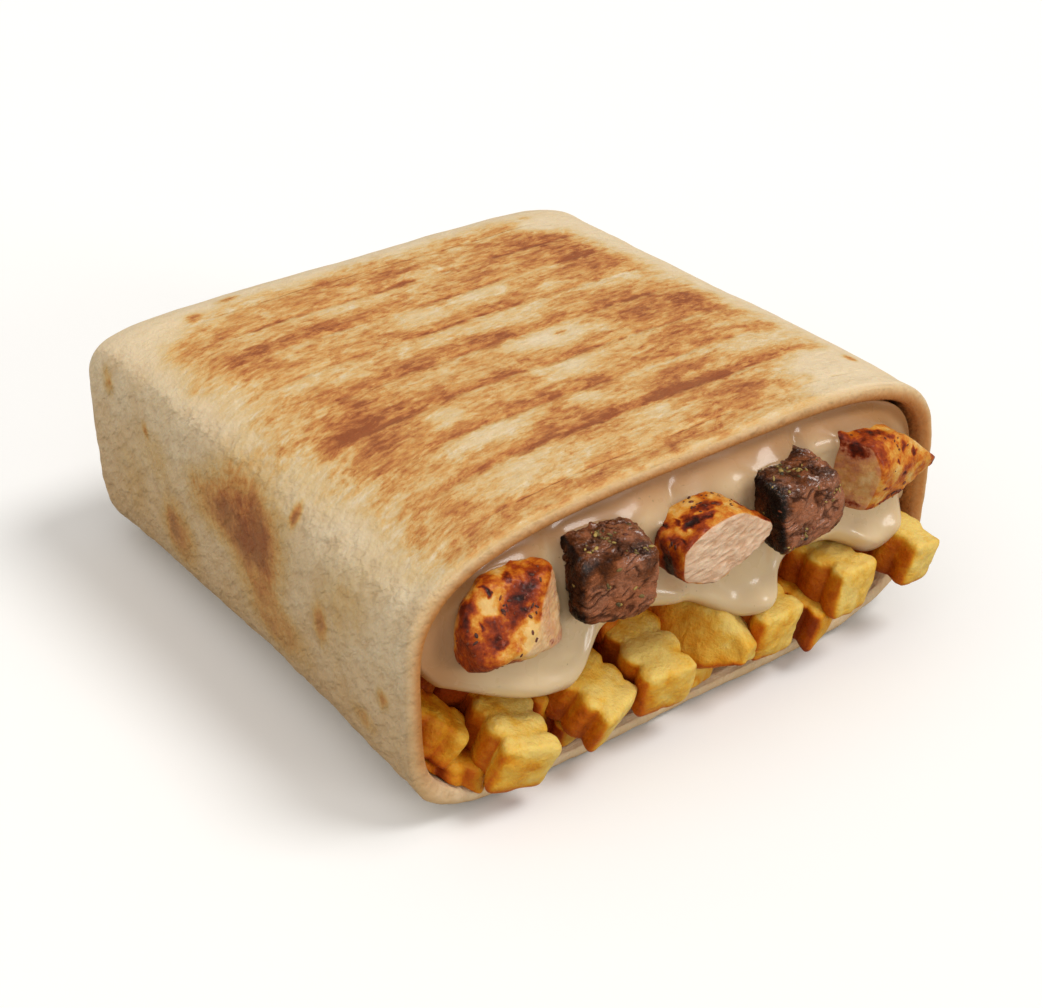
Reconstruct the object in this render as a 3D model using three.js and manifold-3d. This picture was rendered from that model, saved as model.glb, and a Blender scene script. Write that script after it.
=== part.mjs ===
// French taco, cut open at its front end: a pressed wheat tortilla folded round fries, cheese sauce
// and grilled meat. Millimetres, +Z up. X runs across the open mouth, -Y points out of it.
// The origin is on the flat underside, in the middle of the wrap.
import * as THREE from "three";
import { mergeVertices } from "three/addons/utils/BufferGeometryUtils.js";
import Module from "manifold-3d";

const wasm = await Module();
wasm.setup();

// Driving dimensions
const WRAP = {
  half: 60, // half of the width
  mouth: -60.6, // where the open end stops
  back: 61.1, // where the folded end stops
  height: 54.8, // at the mouth
  taper: 0.09, // share of the height that is lost by the back
  taperPower: 1.3, // above 1, more of the taper is towards the back
  wall: 3.2,
  waistLeft: 1, // how far each side pulls in half way back
  waistRight: 3,
  sink: 0.6, // how far the round section would reach below its flat underside
};

// The folded end: the radii of its edges, the dome of its face, and the hem where one flap laps
// over the other, with its height, its wave and the thickness of the upper flap
const FOLD = { side: 10.5, top: 18, bottom: 10, steps: 5, dome: 1.6, hem: 19, wave: 4, step: 1.5 };

// How square each corner of the section is, at the mouth, half way back and at the folded end
const CORNER = {
  rightTop: [3.8, 5.9, 6.5],
  leftTop: [3.5, 4.7, 10],
  leftBottom: [5, 4.5, 5.2],
  rightBottom: [4, 4, 5],
};
const AROUND = 56; // points round a section of the wrap
const GAP = 0.3; // clearance between pieces that touch
const END_GAP = 0.5; // and at the folded end, where the facets of the two faces differ most

const SAUCE = {
  face: -59, // y of its face along the top
  bulge: 2.6, // how far the face swells below that
  drip: 1.6, // and how much further at a drip
  edge: 26.6, // z of its lower edge between the drips, in the middle of the mouth
  fall: 0.075, // how much lower the edge hangs for each mm to the right
  leftLift: 4, // how far the edge is drawn up at its left end
  rightRetreat: 1.5, // how far the face goes back at its right end
  lip: 4.4, // thickness of the hanging lip
  floor: 24.5, // z of its underside further in
  reach: 63, // half of the width and depth it is made over before it is trimmed
  step: 4,
};
// Drips along the edge: where each is, its width to either side and how far it hangs
const DRIPS = [
  { at: -31, left: 22, right: 6, long: 10 },
  { at: 12.5, left: 13, right: 5, long: 9.2 },
  { at: 43.5, left: 8, right: 9, long: 5.8 },
];

// Fries: where each tip is, the way it points (turn to the right, dip down), its roll and section
const RIDGE = { pitch: 5.2, depth: 0.85 };
const FRIES = [
  { tip: [-41.6, -67, 10.3], turn: -8, dip: 13, roll: 21, wide: 11.4, high: 10, length: 20 },
  { tip: [-22, -65.4, 9.6], turn: 18, dip: 26, roll: 8, wide: 13, high: 9.4, length: 19 },
  { tip: [-9.7, -66.4, 11.8], turn: -3, dip: 11, roll: 18, wide: 11.4, high: 10.8, length: 19 },
  { tip: [9.4, -65.2, 10.2], turn: 22, dip: 12, roll: 24, wide: 11.5, high: 11, length: 18, point: 0.35 },
  { tip: [16.6, -66.2, 12.2], turn: 6, dip: 9, roll: 14, wide: 12, high: 10.2, length: 18 },
  { tip: [31, -66, 5.6], turn: 12, dip: 36, roll: 22, wide: 8.8, high: 8.6, length: 18, point: 0.6 },
  { tip: [34.6, -68, 15.1], turn: 9, dip: 3, roll: 10, wide: 10.8, high: 9.8, length: 19 },
  { tip: [50.4, -69.4, 15.8], turn: 6, dip: 9, roll: 14, wide: 9.4, high: 10.4, length: 20 },
  { tip: [-47.5, -59, 10.8], turn: 32, dip: 26, roll: 35, wide: 10.5, high: 10.5, length: 16 },
  { tip: [-50, -54.5, 24], turn: 10, dip: 12, roll: 10, wide: 10, high: 9, length: 10 },
  { tip: [-29.4, -57, 9.6], turn: 20, dip: 20, roll: 15, wide: 9, high: 9, length: 12 },
  { tip: [-25.5, -60.6, 6.4], turn: 10, dip: 8, roll: 0, wide: 7.5, high: 5, length: 12 },
  { tip: [2.8, -61.8, 6.9], turn: 18, dip: 6, roll: 8, wide: 9, high: 5, length: 14 },
  { tip: [28.4, -55.5, 13.6], turn: 0, dip: 10, roll: 20, wide: 10, high: 9, length: 10 },
];
const CORE_FRONT = -50; // where the packed fries behind the loose ends begin

// Meat: each chunk is a middle, a roundness power and its cut faces as [turn, lift, distance].
// Turn 0 faces out of the mouth, turn 90 to the right, lift 90 up.
const MEAT = {
  chicken_left: {
    at: [-42.1, -62.6, 39.2],
    power: 10,
    faces: [
      [-16, 38, 5.2],
      [28, 8, 6.2],
      [-95, -6, 9.4],
      [95, 0, 9.4],
      [-8, -46, 7.4],
      [-90, 48, 8.6],
      [0, 86, 7.4],
      [0, -88, 7.4],
      [-150, 10, 6.4],
      [150, 0, 6.6],
    ],
  },
  beef_left: {
    at: [-23.3, -64.4, 41.6],
    power: 11,
    faces: [
      [-17, 0, 6.7],
      [73, 0, 6.9],
      [163, 0, 6.8],
      [-107, 0, 6.7],
      [0, 88, 6.5],
      [0, -90, 6.9],
      [-65, 50, 9],
      [-25, -48, 9.2],
      [28, -40, 9.4],
      [118, 40, 9.4],
    ],
  },
  chicken_middle: {
    at: [-1.8, -65, 40.5],
    power: 14,
    faces: [
      [4, 2, 5.2],
      [90, 57, 6.5],
      [90, 0, 11.8],
      [125, 0, 8.6],
      [90, -73, 5.4],
      [-90, -70, 6.8],
      [-90, 0, 10.4],
      [-90, 66, 7.2],
      [-130, 20, 9.6],
      [180, 20, 5.6],
      [0, 86, 6.2],
    ],
  },
  beef_right: {
    at: [17.8, -64.2, 40.4],
    power: 11,
    faces: [
      [-4, 2, 6.9],
      [86, 6, 7],
      [176, 0, 6.6],
      [-94, -5, 7.2],
      [-22, 84, 6.6],
      [0, -88, 7],
      [20, -42, 9.4],
      [50, 45, 9.6],
      [130, 42, 9.2],
    ],
  },
  chicken_right: {
    at: [41.6, -63.8, 37.4],
    power: 14,
    faces: [
      [-54, 2, 8.8],
      [90, 50, 7.1],
      [90, 83, 8.4],
      [14, 28, 6.6],
      [6, -14, 4.9],
      [40, -60, 5.2],
      [0, -88, 4.4],
      [90, -60, 11.4],
      [128, 10, 12.8],
      [180, 0, 5.6],
    ],
  },
};
const CHUNK_CELLS = 6; // squares along each side of a chunk's six patches

const COLOURS = {
  tortilla: 0xdcb98a,
  sauce: 0xdcc49a,
  fries: 0xe0a137,
  chicken: 0xc98a4a,
  beef: 0x6b4a40,
};

const rad = THREE.MathUtils.degToRad;
const mix = THREE.MathUtils.lerp;
const smooth = (x, low, high) => THREE.MathUtils.smoothstep(x, low, high);

// A closed geometry from rings with the same number of points: the rings are joined in order, and
// the first and last are closed by a fan round their middles.
function loft(rings) {
  const around = rings[0].length;
  const points = rings.flat();
  const faces = [];
  for (let r = 0; r + 1 < rings.length; r++)
    for (let i = 0; i < around; i++) {
      const j = (i + 1) % around;
      const [a, b] = [r * around + i, r * around + j];
      const [c, d] = [a + around, b + around];
      faces.push(a, b, d, a, d, c);
    }
  for (const [ring, flip] of [[0, true], [rings.length - 1, false]]) {
    const middle = new THREE.Vector3();
    rings[ring].forEach((p) => middle.addScaledVector(p, 1 / around));
    const hub = points.push(middle) - 1;
    for (let i = 0; i < around; i++) {
      const a = ring * around + i;
      const b = ring * around + ((i + 1) % around);
      faces.push(...(flip ? [b, a, hub] : [a, b, hub]));
    }
  }
  const shape = new THREE.BufferGeometry().setFromPoints(points);
  shape.setIndex(faces);
  return shape;
}

// A geometry as a manifold-3d solid, turned the right way out.
function solid(geometry) {
  const merged = mergeVertices(geometry, 1e-4);
  const vertProperties = new Float32Array(merged.attributes.position.array);
  const triVerts = new Uint32Array(merged.index.array);
  const made = new wasm.Manifold(new wasm.Mesh({ numProp: 3, vertProperties, triVerts }));
  if (made.volume() > 0) return made;
  for (let i = 0; i < triVerts.length; i += 3)
    [triVerts[i + 1], triVerts[i + 2]] = [triVerts[i + 2], triVerts[i + 1]];
  return new wasm.Manifold(new wasm.Mesh({ numProp: 3, vertProperties, triVerts }));
}

// The largest body of a solid, so that scraps left by a cut are dropped.
function largest(shape) {
  const bodies = shape.decompose();
  return bodies.reduce((best, body) => (body.volume() > best.volume() ? body : best));
}

function geometryOf(shape) {
  const mesh = shape.getMesh();
  const geometry = new THREE.BufferGeometry();
  const points = [];
  for (let i = 0; i < mesh.numVert; i++)
    points.push(new THREE.Vector3().fromArray(mesh.vertProperties, i * mesh.numProp));
  geometry.setFromPoints(points);
  geometry.setIndex(new THREE.BufferAttribute(mesh.triVerts, 1));
  return geometry;
}

// The point at a distance along a rectangle's outline, from its lower right corner upwards.
function onRectangle(half, rise, distance) {
  let left = distance;
  if (left < 2 * rise) return [half, left - rise];
  left -= 2 * rise;
  if (left < 2 * half) return [half - left, rise];
  left -= 2 * half;
  if (left < 2 * rise) return [-half, rise - left];
  return [left - 2 * rise - half, -rise];
}

// One section of the wrap at depth y. Points spaced evenly round a rectangle are drawn in towards
// its middle until they lie on a curve |x/a|^n + |z/b|^n = 1, whose power n differs by corner, and
// each half is narrowed by its own side's waist. The insets make the section smaller at its sides,
// top and bottom.
function section(y, side, top, bottom) {
  const along = Math.max(0, (y - WRAP.mouth) / (WRAP.back - WRAP.mouth));
  const half = WRAP.half - side;
  const waist = Math.sin(Math.PI * along) / half;
  const high = WRAP.height * (1 - WRAP.taper * along ** WRAP.taperPower) - top;
  const low = bottom - WRAP.sink;
  const rise = (high - low) / 2;
  const middle = (high + low) / 2;
  const perimeter = 4 * (half + rise);
  return Array.from({ length: AROUND }, (_, i) => {
    const [x, z] = onRectangle(half, rise, ((i + 0.5) / AROUND) * perimeter);
    const corner = (x > 0 ? "right" : "left") + (z > 0 ? "Top" : "Bottom");
    const [first, second, last] = CORNER[corner];
    const power = mix(first, last, along) + (2 * second - first - last) * 2 * along * (1 - along);
    const reach = (Math.abs(x / half) ** power + Math.abs(z / rise) ** power) ** (-1 / power);
    const narrow = 1 - waist * (x > 0 ? WRAP.waistRight : WRAP.waistLeft);
    return new THREE.Vector3(x * reach * narrow, y, Math.max(middle + z * reach, bottom));
  });
}

// Rings of the folded end: quarter ellipses round its edge, then the end face drawn in to its
// middle, slightly domed, with a hem where the top flap laps over the bottom one.
function foldedEnd(offset) {
  const rings = [];
  const reach = FOLD.top;
  for (let k = 1; k <= FOLD.steps; k++) {
    const angle = ((k / FOLD.steps) * Math.PI) / 2;
    const y = WRAP.back - offset - reach * (1 - Math.sin(angle));
    const depth = WRAP.back - offset - y;
    const round = (r) => r - Math.sqrt(Math.max(0, r * r - Math.max(0, r - depth) ** 2));
    rings.push(section(y, offset + round(FOLD.side), offset + round(FOLD.top), offset + round(FOLD.bottom)));
  }
  const rim = rings.at(-1);
  const middle = new THREE.Vector3(0, 0, WRAP.height * 0.42);
  for (const share of [0.82, 0.6, 0.36, 0.14])
    rings.push(
      rim.map((p) => {
        const x = p.x * share;
        const z = mix(middle.z, p.z, share);
        const hem = FOLD.hem + FOLD.wave * Math.cos((x / WRAP.half) * Math.PI);
        const flap = offset > GAP ? 0 : FOLD.step * smooth(z, hem - 1, hem + 1);
        return new THREE.Vector3(x, p.y + FOLD.dome * (1 - share * share) - FOLD.step + flap, z);
      }),
    );
  return rings;
}

// Where the rings of the wall's inner face lie, as shares of the way from the mouth to the back
const INNER_SHARES = [0.06, 0.18, 0.34, 0.5, 0.66, 0.8];

// The tortilla's shell, with its wall thickened by grow on both sides.
function shell(grow) {
  const inside = WRAP.wall + grow;
  const lip = WRAP.wall / 2;
  const outer = foldedEnd(-grow).reverse();
  for (const share of [0.86, 0.7, 0.54, 0.38, 0.24, 0.12, 0.04])
    outer.push(section(mix(WRAP.mouth, WRAP.back, share), -grow, -grow, -grow));
  for (const angle of [0, 45, 90, 135, 180]) {
    const y = WRAP.mouth + lip - (lip + grow) * Math.sin(rad(angle));
    const inset = lip - (lip + grow) * Math.cos(rad(angle));
    outer.push(section(y, inset, inset, inset));
  }
  const inner = INNER_SHARES.map((share) =>
    section(mix(WRAP.mouth, WRAP.back, share), inside, inside, inside),
  );
  return solid(loft([...outer, ...inner, ...foldedEnd(inside)]));
}

// The hollow of the wrap less a gap, carried on out of the mouth.
function hollow(front) {
  const inside = WRAP.wall + GAP;
  const places = INNER_SHARES.map((share) => mix(WRAP.mouth, WRAP.back, share));
  const rings = [front, WRAP.mouth, ...places].map((y) => section(y, inside, inside, inside));
  return solid(loft([...rings, ...foldedEnd(WRAP.wall + END_GAP)]));
}

// How much of a drip there is at x, from 0 to 1, and how far the sauce's edge hangs down there.
const dripAt = (x, drip) => Math.exp(-(((x - drip.at) / (x < drip.at ? drip.left : drip.right)) ** 2));
const dripShare = (x) => Math.min(1, DRIPS.reduce((sum, drip) => sum + dripAt(x, drip), 0));
function sauceEdge(x) {
  const hang = DRIPS.reduce((sum, drip) => sum + drip.long * dripAt(x, drip), 0);
  return SAUCE.edge - SAUCE.fall * x - hang + SAUCE.leftLift * smooth(-x, 52, 58);
}

// The sauce before it is trimmed: at each x a closed profile goes down the face, round the hanging
// lip and back along the underside. It is enlarged by grow.
function sauceBlock(grow) {
  const { reach } = SAUCE;
  const rings = [];
  for (let x = -reach; x <= reach; x += SAUCE.step) {
    const edge = sauceEdge(x) - grow;
    const bulge = SAUCE.bulge + SAUCE.drip * dripShare(x);
    const face = SAUCE.face + SAUCE.rightRetreat * smooth(x, 48, 57) - grow;
    const front = face - bulge;
    const profile = [[reach, reach], [face, reach]];
    for (const share of [0.05, 0.2, 0.4, 0.6, 0.8]) {
      const swell = Math.sin((Math.PI / 2) * Math.min(1, share * 1.7));
      profile.push([face - bulge * swell, mix(WRAP.height - WRAP.wall, edge + 2, share)]);
    }
    profile.push([front, edge + 2], [front + 0.6, edge + 0.6], [front + 2, edge]);
    profile.push([front + SAUCE.lip, edge + 0.6]);
    for (const y of [-54, -49, -42, -20, 10, 40, reach]) {
      const under = mix(edge + 1.6, SAUCE.floor - grow, smooth(y, -56, -42));
      profile.push([y, under + 1.2 * Math.sin(x / 9 + y / 13) * smooth(y, -52, -42)]);
    }
    rings.push(profile.map(([y, z]) => new THREE.Vector3(x, y, z)));
  }
  return solid(loft(rings));
}

// A chunk of meat, enlarged by grow: a cube's grid is thrown out along rays from its middle, and
// the ray ends where the p-norm of its cosines with the faces, each over its distance, reaches 1.
function chunk({ at, power, faces }, grow) {
  const box = new THREE.BoxGeometry(2, 2, 2, CHUNK_CELLS, CHUNK_CELLS, CHUNK_CELLS);
  box.deleteAttribute("normal");
  box.deleteAttribute("uv");
  const shape = mergeVertices(box, 1e-4);
  const planes = faces.map(([turn, lift, distance]) => ({
    normal: new THREE.Vector3(
      Math.sin(rad(turn)) * Math.cos(rad(lift)),
      -Math.cos(rad(turn)) * Math.cos(rad(lift)),
      Math.sin(rad(lift)),
    ),
    distance: distance + grow,
  }));
  const points = shape.attributes.position;
  for (let i = 0; i < points.count; i++) {
    const ray = new THREE.Vector3().fromBufferAttribute(points, i);
    ray.set(...ray.toArray().map((c) => Math.tan((c * Math.PI) / 4))).normalize();
    const sum = planes.reduce(
      (total, plane) => total + (Math.max(0, plane.normal.dot(ray)) / plane.distance) ** power,
      0,
    );
    ray.multiplyScalar(sum ** (-1 / power)).add(new THREE.Vector3(...at));
    points.setXYZ(i, ray.x, ray.y, ray.z);
  }
  return solid(shape);
}

// A crinkle-cut fry: an eight-sided section carried back from its tip, full on each ridge and
// drawn in at each notch. A pointed one narrows over its last third.
function fry({ tip, turn, dip, roll, wide, high, length, point = 1 }) {
  const out = new THREE.Vector3(
    Math.sin(rad(turn)) * Math.cos(rad(dip)),
    -Math.cos(rad(turn)) * Math.cos(rad(dip)),
    -Math.sin(rad(dip)),
  );
  const right = new THREE.Vector3(Math.cos(rad(turn)), Math.sin(rad(turn)), 0);
  const up = new THREE.Vector3().crossVectors(right, out).negate();
  right.applyAxisAngle(out, -rad(roll));
  up.applyAxisAngle(out, -rad(roll));
  const flat = 0.7; // share of each side that the bevelled edges leave
  const quarter = [[1, -flat], [1, flat]];
  const outline = [0, 1, 2, 3].flatMap((turns) =>
    quarter.map(([u, v]) => [[u, v], [-v, u], [-u, -v], [v, -u]][turns]),
  );
  const start = new THREE.Vector3(...tip);
  const ring = (back, size) => {
    const narrow = mix(point, 1, smooth(back, -1, length / 3));
    return outline.map(([u, v]) =>
      start
        .clone()
        .addScaledVector(out, -back)
        .addScaledVector(right, (u * wide * size * (1 + narrow)) / 4)
        .addScaledVector(up, (v * high * size * narrow) / 2),
    );
  };
  const rings = [ring(0, 0.88)];
  const notched = 1 - (2 * RIDGE.depth) / wide;
  for (let back = 0.3 * RIDGE.pitch; back < length; back += RIDGE.pitch)
    rings.push(ring(back, 1), ring(back + RIDGE.pitch * 0.6, notched));
  return solid(loft(rings));
}

// Everything behind depth y.
function behind(y) {
  const size = 4 * WRAP.half;
  const box = new THREE.BoxGeometry(size, size, size);
  box.translate(0, y + size / 2, 0);
  box.deleteAttribute("normal");
  box.deleteAttribute("uv");
  return solid(box);
}

// Sauce that fills the upper half of the hollow, runs to the back and holds the meat.
function makeSauce() {
  let sauce = sauceBlock(0).intersect(hollow(WRAP.mouth - 8));
  for (const spec of Object.values(MEAT)) sauce = sauce.subtract(chunk(spec, GAP));
  return largest(sauce);
}

// The packed fries under the sauce, with the ends that show at the mouth fused on.
function makeFries() {
  let fries = hollow(WRAP.mouth).intersect(behind(CORE_FRONT));
  for (const spec of FRIES) fries = fries.add(fry(spec));
  return largest(fries.subtract(shell(GAP)).subtract(sauceBlock(GAP)));
}

const taco = new THREE.Group();

function add(name, shape, colour, roughness) {
  const material = new THREE.MeshStandardMaterial({ color: colour, roughness, metalness: 0 });
  const mesh = new THREE.Mesh(geometryOf(shape), material);
  mesh.name = name;
  taco.add(mesh);
}

add("tortilla", shell(0), COLOURS.tortilla, 0.8);
add("sauce", makeSauce(), COLOURS.sauce, 0.25);
add("fries", makeFries(), COLOURS.fries, 0.55);
for (const [name, spec] of Object.entries(MEAT))
  add(name, chunk(spec, 0), name.startsWith("beef") ? COLOURS.beef : COLOURS.chicken, 0.45);

export default taco;
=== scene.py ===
"""French taco: a pressed tortilla parcel cut open at one end, with crinkle fries, cheese sauce and
grilled meat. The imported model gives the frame, and every piece here stands where its node does."""

import math

import bpy
import numpy as np
from bpy.props import FloatProperty, FloatVectorProperty, PointerProperty
from mathutils import Matrix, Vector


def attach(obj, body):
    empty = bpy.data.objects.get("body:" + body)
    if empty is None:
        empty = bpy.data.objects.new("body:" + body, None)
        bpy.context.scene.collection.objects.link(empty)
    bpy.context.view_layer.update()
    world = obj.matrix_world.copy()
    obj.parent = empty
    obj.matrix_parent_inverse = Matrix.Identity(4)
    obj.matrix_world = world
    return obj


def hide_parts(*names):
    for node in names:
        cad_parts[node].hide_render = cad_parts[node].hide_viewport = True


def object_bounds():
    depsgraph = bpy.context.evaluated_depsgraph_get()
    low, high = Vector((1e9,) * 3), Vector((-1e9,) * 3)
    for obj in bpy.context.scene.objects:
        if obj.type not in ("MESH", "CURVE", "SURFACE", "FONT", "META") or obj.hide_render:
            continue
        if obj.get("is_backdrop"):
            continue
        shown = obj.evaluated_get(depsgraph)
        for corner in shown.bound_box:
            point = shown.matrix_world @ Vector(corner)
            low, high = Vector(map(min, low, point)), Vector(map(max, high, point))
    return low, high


bl_info = {
    "name": "French taco",
    "version": (1, 0, 0),
    "blender": (4, 5, 0),
    "location": "View3D > Sidebar > Taco",
    "description": "A pressed tortilla parcel with fries, cheese sauce and grilled meat",
    "category": "Add Mesh",
}

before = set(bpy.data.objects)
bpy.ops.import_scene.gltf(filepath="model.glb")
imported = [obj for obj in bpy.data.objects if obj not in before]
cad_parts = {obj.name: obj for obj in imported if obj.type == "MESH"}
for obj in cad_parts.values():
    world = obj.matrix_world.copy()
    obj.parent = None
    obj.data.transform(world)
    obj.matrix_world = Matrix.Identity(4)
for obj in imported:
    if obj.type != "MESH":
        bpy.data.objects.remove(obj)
CAD_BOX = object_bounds()

MM = 0.001

# The wrap, in millimetres from the middle of its flat underside: half its width, where its mouth and
# its folded end are, its height, how that falls towards the back, and how thick its wall is
HALF = 60.0
MOUTH = -60.6
BACK = 61.1
HEIGHT = 54.8
TAPER = 0.09
TAPER_POWER = 1.3
WALL = 3.2
# How far each side pulls in half way back, and how much of the section the flat underside cuts off
WAIST_LEFT, WAIST_RIGHT = 1.0, 3.0
SINK = 0.6
# The superellipse power of each corner at the mouth, half way back and at the folded end
CORNERS = {
    "right_top": (3.8, 5.9, 6.5),
    "left_top": (3.5, 4.7, 10.0),
    "left_bottom": (5.0, 4.5, 5.2),
    "right_bottom": (4.0, 4.0, 5.0),
}
# The folded end: the radii of its edges, its dome, the wavy hem of its upper flap, the slanting tucks
# by how far out they stand, how they lean in, their width and depth, and the height that its face is
# drawn to
FOLD_SIDE, FOLD_TOP, FOLD_BOTTOM = 10.5, 18.0, 10.0
FOLD_DOME = 1.6
HEM_HEIGHT, HEM_WAVE, HEM_STEP = 19.0, 4.0, 1.5
TUCK_FOOT, TUCK_LEAN, TUCK_WIDTH, TUCK_DEPTH = 46.0, 0.9, 1.5, 0.5
END_MIDDLE = HEIGHT * 0.42
# The gap between the wrap and its filling, and the points round each of its sections
GAP = 0.3
WRAP_AROUND = 400
# The groove behind the lip: its distance from the mouth, half width and depth
LIP_GROOVE = (5.2, 1.7, 0.42)

# Where the hot plate's ribs pressed the top, as distances from the middle towards the back, and how
# far apart they are, how wide and how deep
PRESS_SPACING, PRESS_WIDTH, PRESS_DEPTH = 11.6, 1.2, 0.14
PRESS_LINES = (39.5, 28.5, 17.6, 5.8, -6.1, -19.3, -31.1, -42.4, -54.5)

# Where the plate's browning begins and where it is full, counted from beyond each edge of the top
TOAST_LEFT, TOAST_RIGHT, TOAST_BACK, TOAST_FRONT = (-56, -44), (-49, -40), (-47, -38), (-65, -55)
# Browning on top, as [across, along, half width, half length, strength]; below zero a paler place
TOP_MARKS = (
    (28, 30, 14, 7, 0.34), (37, 26, 6, 9, 0.2), (-22, 33.5, 7, 3, 0.34), (-12, 37.5, 12, 2, 0.3),
    (2, 34.5, 5, 2, 0.25), (-30, 20.5, 14, 2.4, 0.4), (-41, 17, 4, 5, 0.3), (18, 20, 14, 2, 0.2),
    (34, 12, 9, 8, 0.22), (3, 8.4, 9, 1.8, 0.32), (0, -3.4, 10, 2, 0.36), (-26, -3.6, 9, 1.8, 0.25),
    (-39, -13, 8, 9, 0.3), (-34, -17, 12, 2.6, 0.2), (-42, -26, 6, 8, 0.26), (31, -10, 13, 7, 0.28),
    (40, -15, 5, 6, 0.22), (11, -16, 12, 1.6, 0.2), (-14, -18, 16, 1.4, 0.25),
    (-8, -22, 6, 3.4, 0.25), (-18, -29, 12, 1.8, 0.26), (12, -29.3, 15, 2.2, 0.34),
    (28, -24, 10, 4, 0.25), (-12, -37, 7, 3, 0.25), (18, -35, 6, 3, 0.2),
    (-14, -41.6, 22, 1.7, 0.4), (20, -41.4, 24, 1.6, 0.32), (18, -48, 11, 4.4, 0.28),
    (32, -52, 4, 2, 0.3), (-2, -57, 13, 2.2, 0.3), (-26, -56, 6, 3, 0.2), (28, 41, 9, 2.5, 0.22),
    (-20, 27.5, 8, 3, -0.32), (5, 30.5, 6, 2.4, -0.2), (-4, 25, 12, 2, -0.2),
    (-8, 12.4, 7, 3.2, -0.42), (9, 14, 8, 2.6, -0.36), (-12, 2, 9, 2.4, -0.38),
    (7, 0.6, 9, 3.4, -0.42), (34, 3, 8, 3, -0.24), (-38, 5, 8, 4.5, -0.28),
    (6, -10.5, 10, 4.2, -0.46), (-27, -24, 4, 3, -0.36), (2, -23.4, 8, 3, -0.46),
    (-3, -35, 3.5, 3, -0.34), (9, -34, 5, 2, -0.2), (-26, -34.5, 10, 2.4, -0.36),
    (37, -26, 8, 2.4, -0.42), (35, -36.5, 8, 3.6, -0.36), (3, -47, 8, 3.2, -0.36),
    (-28, -47, 9, 3.4, -0.28), (44, -56, 17, 12, -1.2), (-50, 47, 12, 9, -0.8),
    (-20, 52, 40, 6, -0.6), (52, 30, 7, 26, -0.5), (41, 37, 7, 6, -0.8), (-27, -53, 12, 4, -0.3),
)
# Blisters on the left side, as [along, up, half length, half height, strength]
LEFT_MARKS = (
    (-8, 35, 11.5, 9.5, 0.6), (-10, 30, 8, 9, 0.5), (5, 33, 8, 6, 0.4), (-16, 18, 10, 5, 0.45),
    (19.5, 19, 6, 6, 0.66), (22, 20, 2, 3, 0.35), (44.5, 41, 2, 3, 0.38), (-33, 28, 2.2, 4, 0.62),
    (-22, 43, 1.1, 1.6, 0.9), (-52, 24, 1.4, 1.8, 0.5), (-46, 16, 3.5, 2, 0.35), (30, 37, 1, 1.5, 0.5),
    (27, 32, 6, 6, 0.16), (-40, 36, 8, 6, 0.14), (38, 22, 6, 8, 0.12),
)
# Small dark spots on top, in the same form as the browning
TOP_SPOTS = ((-32, 45, 2.4, 1.0, 0.8), (-41.5, 41, 1.6, 1.6, 0.7), (9, -10, 1.5, 0.9, 0.8),
             (47.5, -48, 1.1, 1.4, 0.8), (-18, -8, 0.6, 0.5, 0.6), (40, 43, 1.2, 0.8, 0.5))

# The sauce: how many points it has across and down its face, and half its width
SAUCE_ACROSS, SAUCE_DOWN = 300, 150
SAUCE_HALF = 55.9
# Its face: where it is, how far it swells in the middle, at the drips and at the bead along its lower
# edge, the radius of that edge, how far it creeps out along the meat and within what distance, and
# how far the painted contact shadow next to the meat reaches
SAUCE_FACE = -59.0
SAUCE_BULGE, SAUCE_DRIP, SAUCE_BEAD = 2.4, 1.8, 1.5
SAUCE_ROUNDING = 2.3
CREEP, CREEP_REACH, CONTACT_SHADOW_REACH = 1.1, 1.3, 2.0
# Its lower edge: its height in the middle, how that falls to the right, and the rise at the left end
SAUCE_EDGE, SAUCE_FALL, SAUCE_LEFT_LIFT = 26.6, 0.075, 4.0
# Behind the face: how far back the hanging lip goes, and the layer's underside and rear end
SAUCE_UNDER = -44.0
SAUCE_FLOOR, SAUCE_REAR = 24.5, 52.0
# Drips, as [across, half width to the left, half width to the right, how far they hang]
DRIPS = ((-31.0, 22.0, 6.0, 10.0), (12.5, 13.0, 5.0, 9.2), (43.5, 8.0, 9.0, 5.8))
# Soft folds of the sauce, as [across, up, half width, half height, how far they stand out]; below
# zero a furrow
FOLDS = (
    (-38.5, 47, 3.9, 3, 1.9), (-31.6, 46.4, 1.5, 5, -1.4), (-13, 48, 3.9, 3, 2),
    (-6, 47.4, 1.4, 4, -1.4), (0.6, 48.4, 4.4, 2.6, 1.5), (10.4, 48.4, 3.4, 3, 1.5),
    (16.4, 48.4, 2.9, 3.2, 2), (22.6, 47.6, 1.4, 4.5, -2.4), (28.6, 48.2, 3.1, 3.2, 1.4),
    (41, 47, 7.6, 3.6, 2.2), (12.4, 20.6, 5, 3.8, 1.8), (-25.6, 22.6, 3.8, 3.8, 1.2),
    (-6.5, 29.4, 4.2, 2.2, 0.8), (40, 22.6, 3.2, 2.6, 0.9), (49.2, 24.4, 3.2, 3.4, 1.2),
    (-46.5, 28.4, 6, 3.4, 0.9), (3, 27.6, 3, 3, -0.7), (30, 28.4, 5, 2.4, 0.7),
    (12.7, 22.6, 3.6, 2.2, 1.2), (46, 23.6, 3.2, 2.2, 1.2), (-7.4, 26.4, 4.6, 2, 1.2),
    (38, 24.6, 2.6, 2, 1.1), (-31, 27.6, 4, 2.4, 1.2), (-20.4, 26.8, 4, 2, 0.8),
)

# Fries: points round each one, the power of its section, how deep the notches are at the sides and
# above and below, the length of its rounded end, and how finely its front part is cut into rings
FRY_AROUND = 64
FRY_POWER = 7.0
RIDGE_DEPTH = 1.45
RIDGE_GROOVE = 0.2
FRY_END = 1.5
FINE_LENGTH, FINE_STEP, COARSE_STEP = 14.0, 0.36, 1.2
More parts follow.
